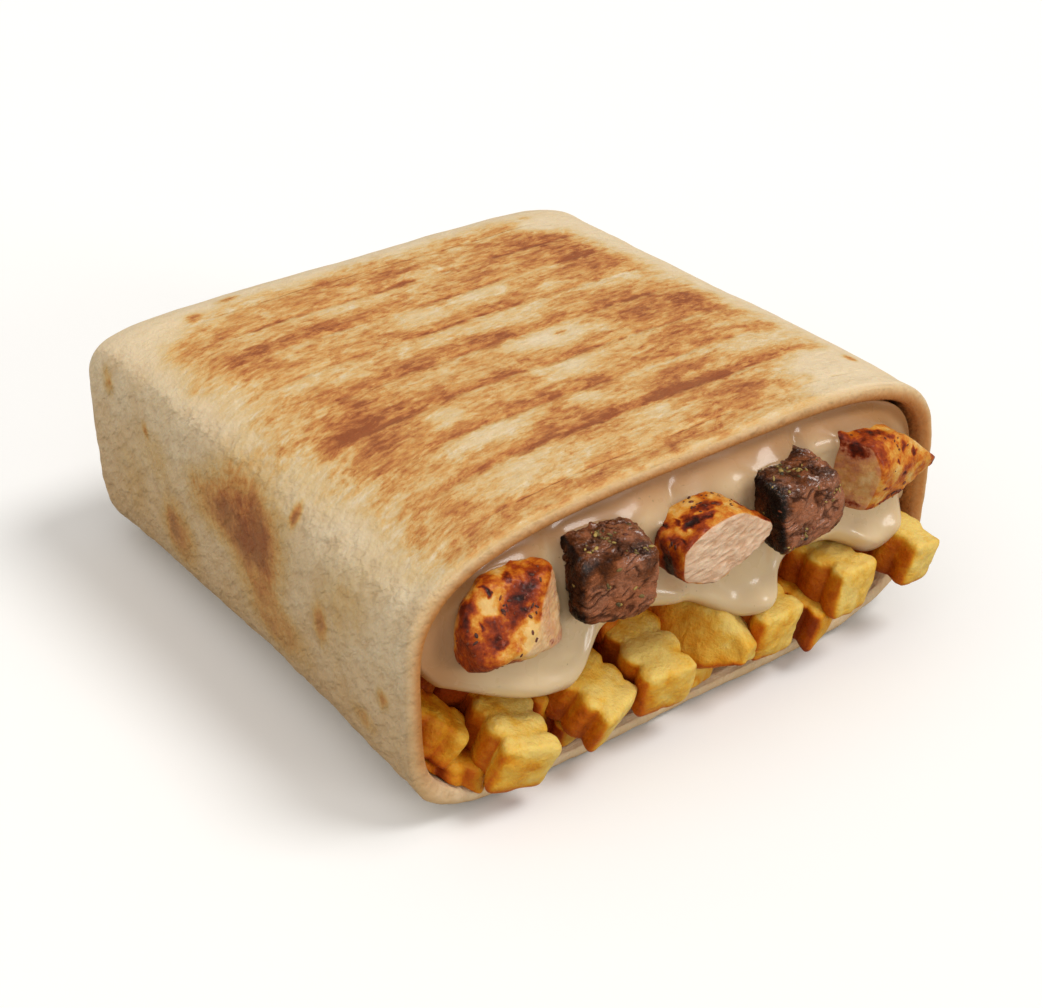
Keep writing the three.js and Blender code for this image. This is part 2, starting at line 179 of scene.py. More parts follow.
# Each named fry, as tip, turn to the right, dip, roll, width, height, length, share of its thickness
# that is left at the tip, slant of the cut, distance between ridges, how brown; for the fries further
# in that brownness is partly painted shade
FRIES = (
    ((-41.4, -67.2, 10.0), -8, 13, 17, 11.8, 10.4, 30, 1.0, 0.0, 5.0, 0.0),
    ((-21.2, -66.2, 10.0), 18, 24, 8, 13.0, 9.4, 26, 1.0, 0.12, 4.6, 0.04),
    ((-9.9, -67.0, 11.6), -3, 13, 3, 12.0, 9.8, 30, 1.0, 0.0, 5.8, 0.0),
    ((10.4, -66.2, 11.0), 27, 14, 24, 13.6, 12.4, 26, 0.32, 0.0, 6.0, 0.04),
    ((16.8, -66.4, 12.0), 6, 10, 8, 12.2, 10.4, 26, 1.0, 0.0, 5.2, 0.02),
    ((28.0, -66.4, 8.4), 16, 14, 2, 6.4, 9.4, 24, 1.0, 0.0, 4.6, 0.3),
    ((33.8, -68.4, 15.9), 9, 5, 8, 11.4, 10.4, 28, 1.0, 0.0, 5.6, 0.02),
    ((50.4, -69.4, 15.8), 6, 9, 14, 9.4, 10.4, 26, 0.9, 0.0, 5.6, 0.0),
    ((-48.4, -57.0, 12.6), 52, 36, 10, 9.4, 8.0, 14, 0.9, 0.1, 4.6, 0.24),
    ((-44.6, -58.4, 6.0), 60, 14, 6, 8.8, 6.4, 12, 0.9, 0.1, 4.6, 0.3),
    ((-50.0, -49.5, 22.0), 10, 12, 10, 10.0, 9.0, 10, 1.0, 0.0, 5.0, 1.0),
    ((-29.4, -57.0, 9.6), 20, 20, 15, 9.0, 9.0, 16, 1.0, 0.0, 5.0, 0.4),
    ((-25.5, -60.6, 6.4), 10, 8, 0, 7.5, 5.0, 16, 1.0, 0.0, 5.0, 0.2),
    ((2.8, -61.8, 6.9), 18, 6, 8, 9.0, 5.0, 18, 1.0, 0.0, 5.0, 0.2),
    ((28.4, -55.5, 13.6), 0, 10, 20, 10.0, 9.0, 12, 1.0, 0.0, 5.0, 0.4),
)
# The row of fries behind them: how many, the first one's place across, and the distance between them
REAR_FRIES, REAR_START, REAR_SPACING = 13, -52.0, 8.4
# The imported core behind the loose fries: where it begins, and the points round its sections
CORE_FRONT = -50.0
CORE_AROUND = 160

# Meat: the cells along each edge of the cube that a chunk is made from, then each piece's middle,
# roundness power, and cut faces as [turn to the right, lift, distance] in degrees and millimetres
MEAT_CELLS = 110
MEAT = {
    "chicken_left": ((-42.1, -62.6, 39.2), 10, (
        (-16, 38, 5.2), (28, 8, 6.2), (-95, -6, 9.4), (95, 0, 9.4), (-8, -46, 7.4), (-90, 48, 8.6),
        (0, 86, 7.4), (0, -88, 7.4), (-150, 10, 6.4), (150, 0, 6.6))),
    "beef_left": ((-23.3, -64.4, 41.6), 11, (
        (-17, 0, 6.7), (73, 0, 6.9), (163, 0, 6.8), (-107, 0, 7.2), (0, 88, 6.5), (0, -90, 6.9),
        (-65, 50, 9.0), (-25, -48, 9.2), (28, -40, 9.4), (118, 40, 9.4))),
    "chicken_middle": ((-1.8, -65.0, 40.5), 14, (
        (4, 2, 5.2), (90, 57, 6.5), (90, 0, 11.8), (125, 0, 8.6), (90, -73, 5.4), (-90, -70, 6.8),
        (-90, 0, 10.4), (-90, 66, 7.2), (-130, 20, 9.6), (180, 20, 5.6), (0, 86, 6.2))),
    "beef_right": ((17.8, -64.2, 40.4), 11, (
        (-4, 2, 6.9), (86, 6, 7.0), (176, 0, 6.6), (-94, -5, 7.2), (-22, 84, 6.6), (0, -88, 7.0),
        (20, -42, 9.4), (50, 45, 9.6), (130, 42, 9.2), (-140, 44, 9.3))),
    "chicken_right": ((41.6, -63.8, 37.4), 14, (
        (-65, 2, 9.5), (90, 50, 7.1), (90, 83, 8.4), (14, 28, 6.6), (6, -14, 4.9), (40, -60, 5.2),
        (0, -88, 4.4), (90, -60, 11.4), (128, 10, 12.8), (180, 0, 5.6))),
}

# The photograph: its width and its camera's focal length, both in pixels, the sensor's width and the
# camera's place in millimetres, and its turn to the right and height above the food in degrees
PHOTO_WIDTH = 1043
FOCAL_PIXELS = 1818.24
SENSOR = 36.0
CAMERA_PLACE = (-180.796, -252.851, 206.228)
CAMERA_TURN = -36.665
CAMERA_TILT = 31.825

# The stage, in metres: half the floor's width, and how far it lies below the food
FLOOR_REACH, FLOOR_DROP = 6.0, 0.0003
# The colour of the light from the surroundings, and of the backdrop that the camera sees
WORLD_TINT = (1.0, 0.955, 0.89)
BACKDROP_COLOUR = (0.985, 0.985, 0.985)
# Suns, as name, where they stand, spread in degrees, tint
SUNS = (
    ("key", (0.38, -0.36, 0.86), 24.0, (1.0, 0.985, 0.955)),
    ("fill", (-0.55, -0.22, 0.8), 80.0, (1.0, 0.98, 0.95)),
    ("glint", (0.3, -0.9, 0.26), 18.0, (1.0, 0.99, 0.97)),
)


def smooth(x, low, high):
    """0 below low, 1 above high and 3t^2 - 2t^3 between, with t the share of the way."""
    t = np.clip((x - low) / (high - low), 0.0, 1.0)
    return t * t * (3.0 - 2.0 * t)


def hill(x, middle, width):
    """A bell curve: e to the power of minus the squared distance from the middle, over the width."""
    return np.exp(-(((x - middle) / width) ** 2))


def cell_values(cells, seed):
    """A fixed number from 0 to 1 for each whole-numbered cell: its three numbers are multiplied by
    large odd numbers and combined, and their bits are mixed by shifts and products."""
    mixed = np.full(cells.shape[:-1], (seed * 2654435761) & 0xFFFFFFFF, np.uint32)
    for axis, factor in enumerate((73856093, 19349663, 83492791)):
        mixed ^= cells[..., axis].astype(np.uint32) * np.uint32(factor)
    for shift, factor in ((15, 0x2C1B3C6D), (12, 0x297A2D39)):
        mixed = (mixed ^ (mixed >> np.uint32(shift))) * np.uint32(factor)
    mixed ^= mixed >> np.uint32(15)
    return mixed / float(0xFFFFFFFF)


def noise(points, size, seed, octaves=1):
    """Smooth noise from about -1 to 1: the values at the eight corners of a point's cell, mixed by
    the smoothed fractions of its place in the cell. Each further octave has half the cell size and
    half the strength. A size of three numbers stretches the cells."""
    total = np.zeros(points.shape[:-1])
    strength = 1.0
    reach = 0.0
    for octave in range(octaves):
        place = points / (np.asarray(size, float) * 0.5**octave)
        low = np.floor(place)
        share = place - low
        share = share * share * (3.0 - 2.0 * share)
        cells = low.astype(np.int64)
        value = 0.0
        for corner in range(8):
            bits = np.array([corner & 1, corner >> 1 & 1, corner >> 2 & 1])
            weight = np.prod(np.where(bits, share, 1.0 - share), axis=-1)
            value = value + weight * cell_values(cells + bits, seed + 31 * octave)
        total += strength * (2.0 * value - 1.0)
        reach += strength
        strength *= 0.5
    return total / reach


def unit(vectors):
    """Vectors over their lengths."""
    return vectors / np.maximum(np.linalg.norm(vectors, axis=-1, keepdims=True), 1e-12)


def direction(turn, lift):
    """The unit direction turned to the right of the front and lifted, both in degrees."""
    turn, lift = np.radians(turn), np.radians(lift)
    return np.stack([np.sin(turn) * np.cos(lift), -np.cos(turn) * np.cos(lift), np.sin(lift)], -1)


def facing_away(normals, away):
    """Normals, turned over if most of them point against the directions that lead away."""
    return -normals if (normals * away).sum() < 0 else normals


def ring_normals(rings):
    """Unit normals of a lofted grid: the cross product of its differences round and along, facing
    away from the rings' middles."""
    around = np.roll(rings, -1, axis=1) - np.roll(rings, 1, axis=1)
    along = np.gradient(rings, axis=0)
    return facing_away(unit(np.cross(around, along)), rings - rings.mean(axis=1, keepdims=True))


def loft(rings):
    """Points, quads and triangles of a closed surface: rings are joined in order, and the first and
    last are closed by a fan round their middles."""
    count, around = rings.shape[:2]
    points = np.concatenate([rings.reshape(-1, 3), rings[[0, -1]].mean(axis=1)])
    ring, step = np.meshgrid(np.arange(count - 1), np.arange(around), indexing="ij")
    here = ring * around + step
    beside = ring * around + (step + 1) % around
    quads = np.stack([here, beside, beside + around, here + around], axis=-1).reshape(-1, 4)
    first = np.arange(around)
    second = (first + 1) % around
    end = (count - 1) * around
    hub = np.full(around, count * around)
    fans = [np.stack([second, first, hub], -1), np.stack([first + end, second + end, hub + 1], -1)]
    return points, quads, np.concatenate(fans)


def loft_values(values):
    """A value for each point that loft makes: those of the grid, then the two ends' means."""
    return np.concatenate([values.reshape(-1), values[[0, -1]].mean(axis=1)])


def ball_grid(cells):
    """Directions and quads of a ball made from a cube: each face's grid is spaced evenly by angle,
    and points that two faces share are one."""
    steps = np.arange(cells + 1) * 2 - cells
    u, v = [g.reshape(-1) for g in np.meshgrid(steps, steps, indexing="ij")]
    full = np.full_like(u, cells)
    sides = []
    for axis in range(3):
        for sign in (1, -1):
            columns = [None, None, None]
            columns[axis] = sign * full
            columns[(axis + 1) % 3] = u * sign
            columns[(axis + 2) % 3] = v
            sides.append(np.stack(columns, -1))
    points, places = np.unique(np.concatenate(sides), axis=0, return_inverse=True)
    places = places.reshape(6, cells + 1, cells + 1)
    quads = np.stack([places[:, :-1, :-1], places[:, 1:, :-1], places[:, 1:, 1:], places[:, :-1, 1:]], -1)
    return unit(np.tan(points / cells * (math.pi / 4))), quads.reshape(-1, 4)


def point_normals(points, quads):
    """Unit normals at the points of a closed quad mesh, facing away from its middle: the sum of the
    cross products of the diagonals of the quads round each point."""
    a, b, c, d = (points[quads[:, k]] for k in range(4))
    cross = np.cross(c - a, d - b)
    total = np.zeros_like(points)
    for k in range(4):
        np.add.at(total, quads[:, k], cross)
    return facing_away(unit(total), points - points.mean(axis=0))


def joined(parts):
    """One shape from several (points, quads, triangles, values): indices move up by the points
    that come before."""
    points, quads, triangles, values = zip(*parts)
    offsets = np.cumsum([0] + [len(part) for part in points[:-1]])
    merged = {name: np.concatenate([value[name] for value in values]) for name in values[0]}
    quads = np.concatenate([part + offset for part, offset in zip(quads, offsets)])
    triangles = np.concatenate([part + offset for part, offset in zip(triangles, offsets)])
    return np.concatenate(points), quads, triangles, merged


def outward(points, quads, triangles):
    """Quads and triangles turned to face out: where the sum of the signed volumes under them is
    below zero, their corners are reversed."""
    halves = [quads[:, [0, 1, 2]], quads[:, [0, 2, 3]], triangles]
    a, b, c = (points[np.concatenate(halves)[:, k]] for k in range(3))
    if np.einsum("ij,ij->", a, np.cross(b, c)) < 0:
        return quads[:, ::-1], triangles[:, ::-1]
    return quads, triangles


def add_piece(name, shape, material, node):
    """A mesh object from a shape in millimetres, with its values as attributes. It stands for its
    node, rides on the root and takes its finish from the slot."""
    points, quads, triangles, values = shape
    quads, triangles = outward(points, quads, triangles)
    corners = np.concatenate([quads.reshape(-1), triangles.reshape(-1)]).astype(np.int32)
    sizes = np.concatenate([np.full(len(quads), 4), np.full(len(triangles), 3)]).astype(np.int32)
    starts = (np.cumsum(sizes) - sizes).astype(np.int32)
    mesh = bpy.data.meshes.new(name)
    mesh.vertices.add(len(points))
    mesh.vertices.foreach_set("co", (points * MM).astype(np.float32).reshape(-1))
    mesh.loops.add(len(corners))
    mesh.loops.foreach_set("vertex_index", corners)
    mesh.polygons.add(len(sizes))
    mesh.polygons.foreach_set("loop_start", starts)
    mesh.update(calc_edges=True)
    mesh.shade_smooth()
    for key, value in values.items():
        layer = mesh.attributes.new(key, "FLOAT", "POINT")
        layer.data.foreach_set("value", np.asarray(value, np.float32))
    mesh.materials.append(material)
    piece = bpy.data.objects.new(name, mesh)
    bpy.context.scene.collection.objects.link(piece)
    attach(piece, "root")
    if node:
        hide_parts(node)


def no_triangles():
    """An empty array of triangles."""
    return np.zeros((0, 3), int)


def along_wrap(y):
    """How far back y is, from 0 at the mouth and before it to 1 at the folded end."""
    return np.maximum(0.0, (y - MOUTH) / (BACK - MOUTH))


def wrap_frame(y, side, top, bottom):
    """Half width, half height and middle height of the wrap's section at depth y, less the insets
    and before the sides pull in."""
    high = HEIGHT * (1.0 - TAPER * along_wrap(y) ** TAPER_POWER) - top
    low = bottom - SINK
    return HALF - side, (high - low) / 2.0, (high + low) / 2.0


def waisted(x, y, half):
    """The share of the half width that is left where a side pulls in: one less half a sine wave
    along the wrap, as deep as the waist of the side that x is on."""
    depth = np.where(x > 0, WAIST_RIGHT, WAIST_LEFT)
    return 1.0 - depth * np.sin(math.pi * along_wrap(y)) / half


def corner_power(x, z, y):
    """The superellipse power of the corner that a point is nearest: a parabola through the three
    powers that the corner has at the mouth, half way back and at the folded end."""
    along = along_wrap(y)

    def blend(first, second, last):
        straight = first + (last - first) * along
        return straight + (2 * second - first - last) * 2 * along * (1 - along)

    powers = {name: blend(*three) for name, three in CORNERS.items()}
    right = np.where(z > 0, powers["right_top"], powers["right_bottom"])
    left = np.where(z > 0, powers["left_top"], powers["left_bottom"])
    return np.where(x > 0, right, left)


def sections(y, side, top, bottom, around=WRAP_AROUND):
    """Sections of the wrap at depths y, with insets that are numbers or one for each depth: points
    spaced evenly round a rectangle, drawn in towards its middle until |x/a|^n + |z/b|^n is 1, with n
    by corner, and no lower than the flat underside."""
    columns = [np.reshape(value, (-1, 1)).astype(float) for value in (y, side, top, bottom)]
    y, side, top, bottom = np.broadcast_arrays(*columns)
    half, rise, middle = wrap_frame(y, side, top, bottom)
    s = (np.arange(around) + 0.5) / around * 4 * (half + rise)
    places = [s < 2 * rise, s < 2 * rise + 2 * half, s < 4 * rise + 2 * half]
    x = np.select(places, [half + 0 * s, half + 2 * rise - s, -half + 0 * s], s - 4 * rise - 3 * half)
    z = np.select(places, [s - rise, rise + 0 * s, 3 * rise + 2 * half - s], -rise + 0 * s)
    power = corner_power(x, z, y)
    reach = (np.abs(x / half) ** power + np.abs(z / rise) ** power) ** (-1.0 / power)
    x = x * reach * waisted(x, y, half)
    return np.stack([x, y + 0 * x, np.maximum(middle + z * reach, bottom)], -1)


def fold_insets(y, offset):
    """Insets of the side, the top and the underside at depth y: the offset from the outside, and
    near the folded end a quarter circle of each one's own radius."""
    insets = []
    for radius in (FOLD_SIDE, FOLD_TOP, FOLD_BOTTOM):
        past = np.maximum(0.0, radius - (BACK - offset - y))
        insets.append(offset + radius - np.sqrt(np.maximum(0.0, radius**2 - past**2)))
    return insets


def inside_share(x, y, z, offset):
    """1 at an offset in from the wrap's outside, below 1 further in and above 1 further out: the norm
    of |x/a|^n + |z/b|^n, and where the underside is flat, the distance down from the middle."""
    half, rise, middle = wrap_frame(y, *fold_insets(y, offset))
    half = half * waisted(x, y, half)
    power = corner_power(x, z - middle, y)
    share = (np.abs(x / half) ** power + np.abs((z - middle) / rise) ** power) ** (1.0 / power)
    return np.maximum(share, (middle - z) / (middle - offset))


def folded_end(offset, steps, shares, around=WRAP_AROUND):
    """Rings of the folded end: quarter ellipses round its edge, then the end face drawn in to its
    middle, domed, with the upper flap a step further out above a wavy hem and two slanting tucks
    from the lower corners."""
    angle = np.arange(1, steps + 1) / steps * (math.pi / 2)
    y = BACK - offset - FOLD_TOP * (1.0 - np.sin(angle))
    edge = sections(y, *fold_insets(y, offset), around)
    share = np.asarray(shares, float)[:, None]
    rim = edge[-1][None]
    x = rim[..., 0] * share
    z = END_MIDDLE + (rim[..., 2] - END_MIDDLE) * share
    flat = smooth(1.0 - share, 0.0, 0.14)
    hem = HEM_HEIGHT + HEM_WAVE * np.cos(x / HALF * math.pi)
    flap = smooth(z, hem - 0.8, hem + 0.8) if offset <= GAP else 0.0
    tuck = hill(np.abs(x) - TUCK_FOOT + TUCK_LEAN * z, 0.0, TUCK_WIDTH) * smooth(hem - z, 0.0, 3.0)
    out = FOLD_DOME * (1.0 - share**2) - HEM_STEP * flat * (1.0 - flap) - TUCK_DEPTH * tuck * flat
    cap = np.stack([x, rim[..., 1] + out, z], -1)
    return np.concatenate([edge, cap])


def marks(across, along, places):
    """The sum of soft patches: each is its strength times e to minus the 2.7th power of the distance
    from its middle, measured in its own half widths."""
    total = np.zeros(across.shape)
    for x, y, wide, long, strength in places:
        distance = ((across - x) / wide) ** 2 + ((along - y) / long) ** 2
        total += strength * np.exp(-(distance**1.35))
    return total


def press_number(y):
    """The number of the press line at y, with shares of the way between lines."""
    lines = np.array(PRESS_LINES[::-1])
    return np.interp(y, lines, np.arange(len(lines)), left=-0.5, right=len(lines) - 0.5)


def plate_toast(x, y, points, seed):
    """Browning by the hot plate: a flat area with a ragged edge, its named marks, mottling at two
    sizes stretched along the ribs, and a darker and a paler band behind each rib line."""
    ragged = 4.6 * noise(points, 9.0, seed, 3)
    inside = smooth(x + ragged, *TOAST_LEFT) * smooth(-x + ragged, *TOAST_RIGHT)
    inside = inside * smooth(-y + ragged, *TOAST_BACK) * smooth(y + 0.6 * ragged, *TOAST_FRONT)
    mottle = 0.16 * noise(points, (12, 6, 9), seed + 1, 2)
    mottle = mottle + 0.08 * noise(points, (4, 2.4, 3), seed + 2, 2)
    place = press_number(y)
    behind = place - np.floor(place)
    band = 0.12 * np.exp(-behind / 0.2) - 0.08 * hill(behind, 0.86, 0.15)
    return inside * np.clip(0.51 + mottle + band + 0.85 * marks(x, y, TOP_MARKS), 0.0, 0.94)


def bread_toast(points, normals):
    """Browning over the whole tortilla: the plate's on the top and the underside, blisters on the
    sides and the folded end, each by how far the surface faces that way, and small spots."""
    x, y, z = (points[..., k] for k in range(3))
    up, down = (smooth(sign * normals[..., 2], 0.45, 0.8) for sign in (1, -1))
    right, left = (smooth(sign * normals[..., 0], 0.25, 0.6) for sign in (1, -1))
    back = smooth(normals[..., 1], 0.4, 0.8)
    uneven = 0.75 + 0.35 * noise(points, 2.4, 21, 2) + 0.25 * noise(points, 7.0, 22)
    toast = up * (plate_toast(x, y, points, 5) + marks(x, y, TOP_SPOTS))
    toast = toast + down * plate_toast(-x, -y - 8.0, points + 90.0, 9)
    blisters = 1.7 * left * marks(y, z, LEFT_MARKS) + 1.2 * back * marks(0.8 * x, z, LEFT_MARKS)
    blisters = blisters + 1.2 * right * marks(-y - 12.0, z - 2.0, LEFT_MARKS)
    toast = toast + blisters * uneven
    return toast + 0.06 * noise(points, 11.0, 23, 2)


def tortilla_rings():
    """The rings of the tortilla from the folded end forward along the outside, round the lip and back
    along the inside, and for each ring how much it is of the lip and of the inside."""
    lip = WALL / 2
    outer_end = folded_end(0.0, 30, np.linspace(0.97, 0.03, 24))[::-1]
    body = sections(np.linspace(BACK - FOLD_TOP, MOUTH + lip, 122)[:-1], 0.0, 0.0, 0.0)
    angle = np.linspace(0, math.pi, 15)
    lip_inset = lip - lip * np.cos(angle)
    rim = sections(MOUTH + lip - lip * np.sin(angle), lip_inset, lip_inset, lip_inset)
    deep_y = np.concatenate([np.linspace(MOUTH + lip + 0.8, -34, 26), np.linspace(-28, 38, 8)])
    inside = sections(deep_y, WALL, WALL, WALL)
    inner_end = folded_end(WALL, 6, (0.7, 0.4, 0.15))
    before = np.zeros(len(outer_end) + len(body))
    after = np.zeros(len(inside) + len(inner_end))
    lip_share = np.concatenate([before, np.sin(angle), after])
    inner_share = np.concatenate([before, smooth(angle, 0.8, 2.0), after + 1.0])
    rings = np.concatenate([outer_end, body, rim, inside, inner_end])
    return rings, lip_share[:, None], inner_share[:, None]


def tortilla_shape():
    """The tortilla as one closed surface. The outside is moved along its normals by soft lumps, the
    press lines, a shallow groove behind the lip and wrinkles that slant up the sides, and the lip by
    fine lumps of its own."""
    rings, lip, inner = tortilla_rings()
    normals = ring_normals(rings)
    x, y, z = (rings[..., k] for k in range(3))
    up = smooth(normals[..., 2], 0.5, 0.85)
    place = press_number(y)
    groove = np.minimum(place - np.floor(place), np.ceil(place) - place) * PRESS_SPACING
    pressed = up * smooth(-np.abs(x), -46, -34) * smooth(-y, -44, -40)
    move = 0.32 * noise(rings, 19.0, 1, 2) + 0.1 * noise(rings, 5.0, 2, 2) - 0.1
    move = move - PRESS_DEPTH * pressed * hill(groove, 0.0, PRESS_WIDTH)
    distance, width, depth = LIP_GROOVE
    move = move - depth * hill(y, MOUTH + distance, width) * (0.6 + 0.4 * noise(rings, 8.0, 3))
    slanting = np.stack([x, 0.7 * (z + y), 0.7 * (z - y)], -1)
    move = move + (0.04 + 0.13 * (1.0 - up)) * noise(slanting, (3.0, 1.8, 4.0), 6, 2)
    move = move * (1.0 - inner) + lip * 0.1 * noise(rings, (4.2, 9.0, 4.2), 4, 2)
    toast = bread_toast(rings, normals) * (1.0 - inner)
    rings = rings + normals * move[..., None]
    rings[..., 2] = np.maximum(rings[..., 2], 0.0)
    values = {
        "toast": toast,
        "plate": smooth(np.abs(normals[..., 2]), 0.55, 0.9),
        "press": place,
        "pressed": pressed * (1.0 - inner),
        "height": rings[..., 2] / HEIGHT,
        "inner": inner + 0 * y,
        "lip": lip + 0 * y,
    }
    return (*loft(rings), {name: loft_values(value) for name, value in values.items()})


def drip_at(x, drip):
    """How much of a drip there is at x, a bell curve with its own width to each side."""
    at, left, right, _ = drip
    return np.exp(-(((x - at) / np.where(x < at, left, right)) ** 2))


def sauce_edge(x):
    """Height of the sauce's lower edge at x: it falls to the right, hangs by the drips and is drawn
    up at its left end."""
    hang = sum(drip[3] * drip_at(x, drip) for drip in DRIPS)
    return SAUCE_EDGE - SAUCE_FALL * x - hang + SAUCE_LEFT_LIFT * smooth(-x, 52, 58)


def meat_distance(points, spec):
    """About how far each point is outside a chunk of meat, below zero inside it: the length of the
    ray from its middle, times one less the reciprocal of the chunk's own norm."""
    ray = points - np.array(spec[0])
    size = chunk_norm(ray, spec)
    return np.linalg.norm(ray, axis=-1) * (1.0 - 1.0 / np.maximum(size, 1e-6))


def chunk_norm(rays, spec):
    """The p-norm of how far a ray reaches towards each of a chunk's cut faces, over that face's
    distance: 1 on the chunk's surface."""
    _, power, faces = spec
    turn, lift, distance = np.array(faces, float).T
    shares = np.maximum(0.0, rays @ direction(turn, lift).T) / distance
    return (shares**power).sum(axis=-1) ** (1.0 / power)


def ceiling_height(x, half, rise, middle, power):
    """Height of the upper half of a superellipse at x, and its middle height past its sides."""
    return middle + rise * (1.0 - np.minimum(1.0, np.abs(x / half) ** power)) ** (1.0 / power)


def sauce_face(x, ceiling, edge, half, rise, middle, power):
    """The face of the sauce at the mouth, from its top edge down to its lower edge, its distance above
    the lower edge, and how strongly painted contact shadow darkens it next to the meat. It swells away
    from the wall and at the drips, is rounded and has a bead along its lower edge, is folded and lumpy,
    and creeps up the meat."""
    right = smooth(x, 10, 48)
    share = np.linspace(0, 1, SAUCE_DOWN)[:, None]
    z = ceiling - 0.15 + (edge + 0.25 - ceiling) * share
    x = x + 0 * z
    near_wall = ((np.abs(x) / half) ** power + (np.abs(z - middle) / rise) ** power) ** (1 / power)
    swell = smooth((1.0 - near_wall) / (0.32 - 0.16 * right), 0.0, 1.0)
    dripping = np.minimum(1.0, sum(drip_at(x, drip) for drip in DRIPS)) * smooth(z, 46.0, 30.0)
    y = SAUCE_FACE + 0.9 - (SAUCE_BULGE + 0.9) * swell - SAUCE_DRIP * dripping
    y = y + 0.7 * smooth(x, 46, 57)
    lip_height = z - edge
    rounding = 1.0 - np.minimum(lip_height, SAUCE_ROUNDING) / SAUCE_ROUNDING
    y = y + SAUCE_ROUNDING * (1.0 - np.sqrt(np.clip(1.0 - rounding**2, 0, 1)))
    uneven = 0.8 + 0.7 * noise(np.stack([x, 0 * z, 0.4 * z], -1), 7.0, 43, 2)
    y = y - SAUCE_BEAD * uneven * hill(lip_height, 3.6, 2.2) * swell
    for at, up, wide, high, out in FOLDS:
        y = y - out * hill(x, at, wide) * hill(z, up, high) * swell
    y = y - 0.5 * noise(np.stack([x, 0 * y, z], -1), 13.0, 41, 2)
    # Painted contact shadow: how strongly the sauce is darkened next to each piece of meat
    stain = np.zeros_like(y)
    for spec in MEAT.values():
        gap = np.maximum(meat_distance(np.stack([x, y, z], -1), spec), 0.0)
        y = y - CREEP * np.exp(-gap / CREEP_REACH)
        stain = np.maximum(stain, np.exp(-gap / CONTACT_SHADOW_REACH))
    return np.stack([x, y, z], -1), lip_height, stain


def sauce_shape():
    """The sauce as one closed surface: at each x a closed profile runs down the face at the mouth,
    back under the hanging lip, along the sauce's underside, and forward again along the wrap's
    ceiling. Its colour is warmer and darker where the thin value is high: at its thin lower edge,
    partly for oil and partly as painted bounce light from the fries, on its hidden underside and rear,
    and as painted shade at both ends and up under the wrap's lip."""
    u = np.linspace(-1, 1, SAUCE_ACROSS)
    x = SAUCE_HALF * u * (1.5 - 0.5 * u * u)
    inset = WALL + 0.05
    half, rise, middle = wrap_frame(np.array(MOUTH + 1.5), inset, inset, inset)
    half = half - 0.9 * smooth(x, 10, 48)
    power = np.where(x > 0, 3.7, 3.4)
    ceiling = ceiling_height(x, half, rise, middle, power)
    edge = np.minimum(sauce_edge(x), ceiling - 0.2)
    face, lip_height, stain = sauce_face(x, ceiling, edge, half, rise, middle, power)
    lower_y = face[-1, :, 1]
    under_y = lower_y + (SAUCE_UNDER - lower_y) * np.linspace(0, 1, 14)[1:, None] ** 1.6
    under_z = edge + 0.1 + (SAUCE_FLOOR - edge) * smooth(under_y, -57, -45)
    rear_y = np.linspace(-36, SAUCE_REAR, 10)[:, None] + 0 * x
    rear_z = SAUCE_FLOOR + 0.6 * np.sin(x / 9 + rear_y / 13)
    top_y = np.concatenate([np.linspace(SAUCE_REAR, -40, 24), np.linspace(-45, -57.6, 8)])
    top_y = top_y[:, None] + 0 * x
    half, rise, middle = wrap_frame(top_y, *fold_insets(top_y, WALL + 0.4))
    half = half * waisted(x, top_y, half)
    top_z = ceiling_height(x, half, rise, middle, corner_power(x, 1.0, top_y)) - 0.2
    top_z = np.maximum(np.minimum(top_z, ceiling - 0.15), np.minimum(SAUCE_FLOOR, ceiling - 0.25))
    profile = [face]
    for y, z in ((under_y, np.minimum(under_z, ceiling - 0.25)),
                 (rear_y, np.minimum(rear_z, ceiling - 0.25)), (top_y, top_z)):
        profile.append(np.stack([x + 0 * y, y, z], -1))
    profile = np.concatenate(profile)
    # The thin value: the thin lower edge, partly oil and partly painted bounce light from the fries, the
    # hidden underside and rear, and painted shade at both ends and under the wrap's lip
    thin = np.zeros(profile.shape[:2])
    thin[:SAUCE_DOWN] = np.maximum(0, 2.2 - lip_height) / 2.2
    thin[SAUCE_DOWN:SAUCE_DOWN + len(under_y) + len(rear_y)] = 1.0
    left_end_shade = smooth(-profile[..., 0], 42, 55)
    right_end_shade = 0.5 * smooth(profile[..., 0], 38, 56)
    under_lip_shade = smooth(profile[..., 2] - ceiling, -9.0, -0.5)
    thin = np.maximum(np.maximum(thin, left_end_shade), np.maximum(under_lip_shade, right_end_shade))
    contact_shaded = np.zeros_like(thin)
    contact_shaded[:SAUCE_DOWN] = stain
    values = {"thin": loft_values(thin.T), "stain": loft_values(contact_shaded.T)}
    return (*loft(profile.transpose(1, 0, 2)), values)


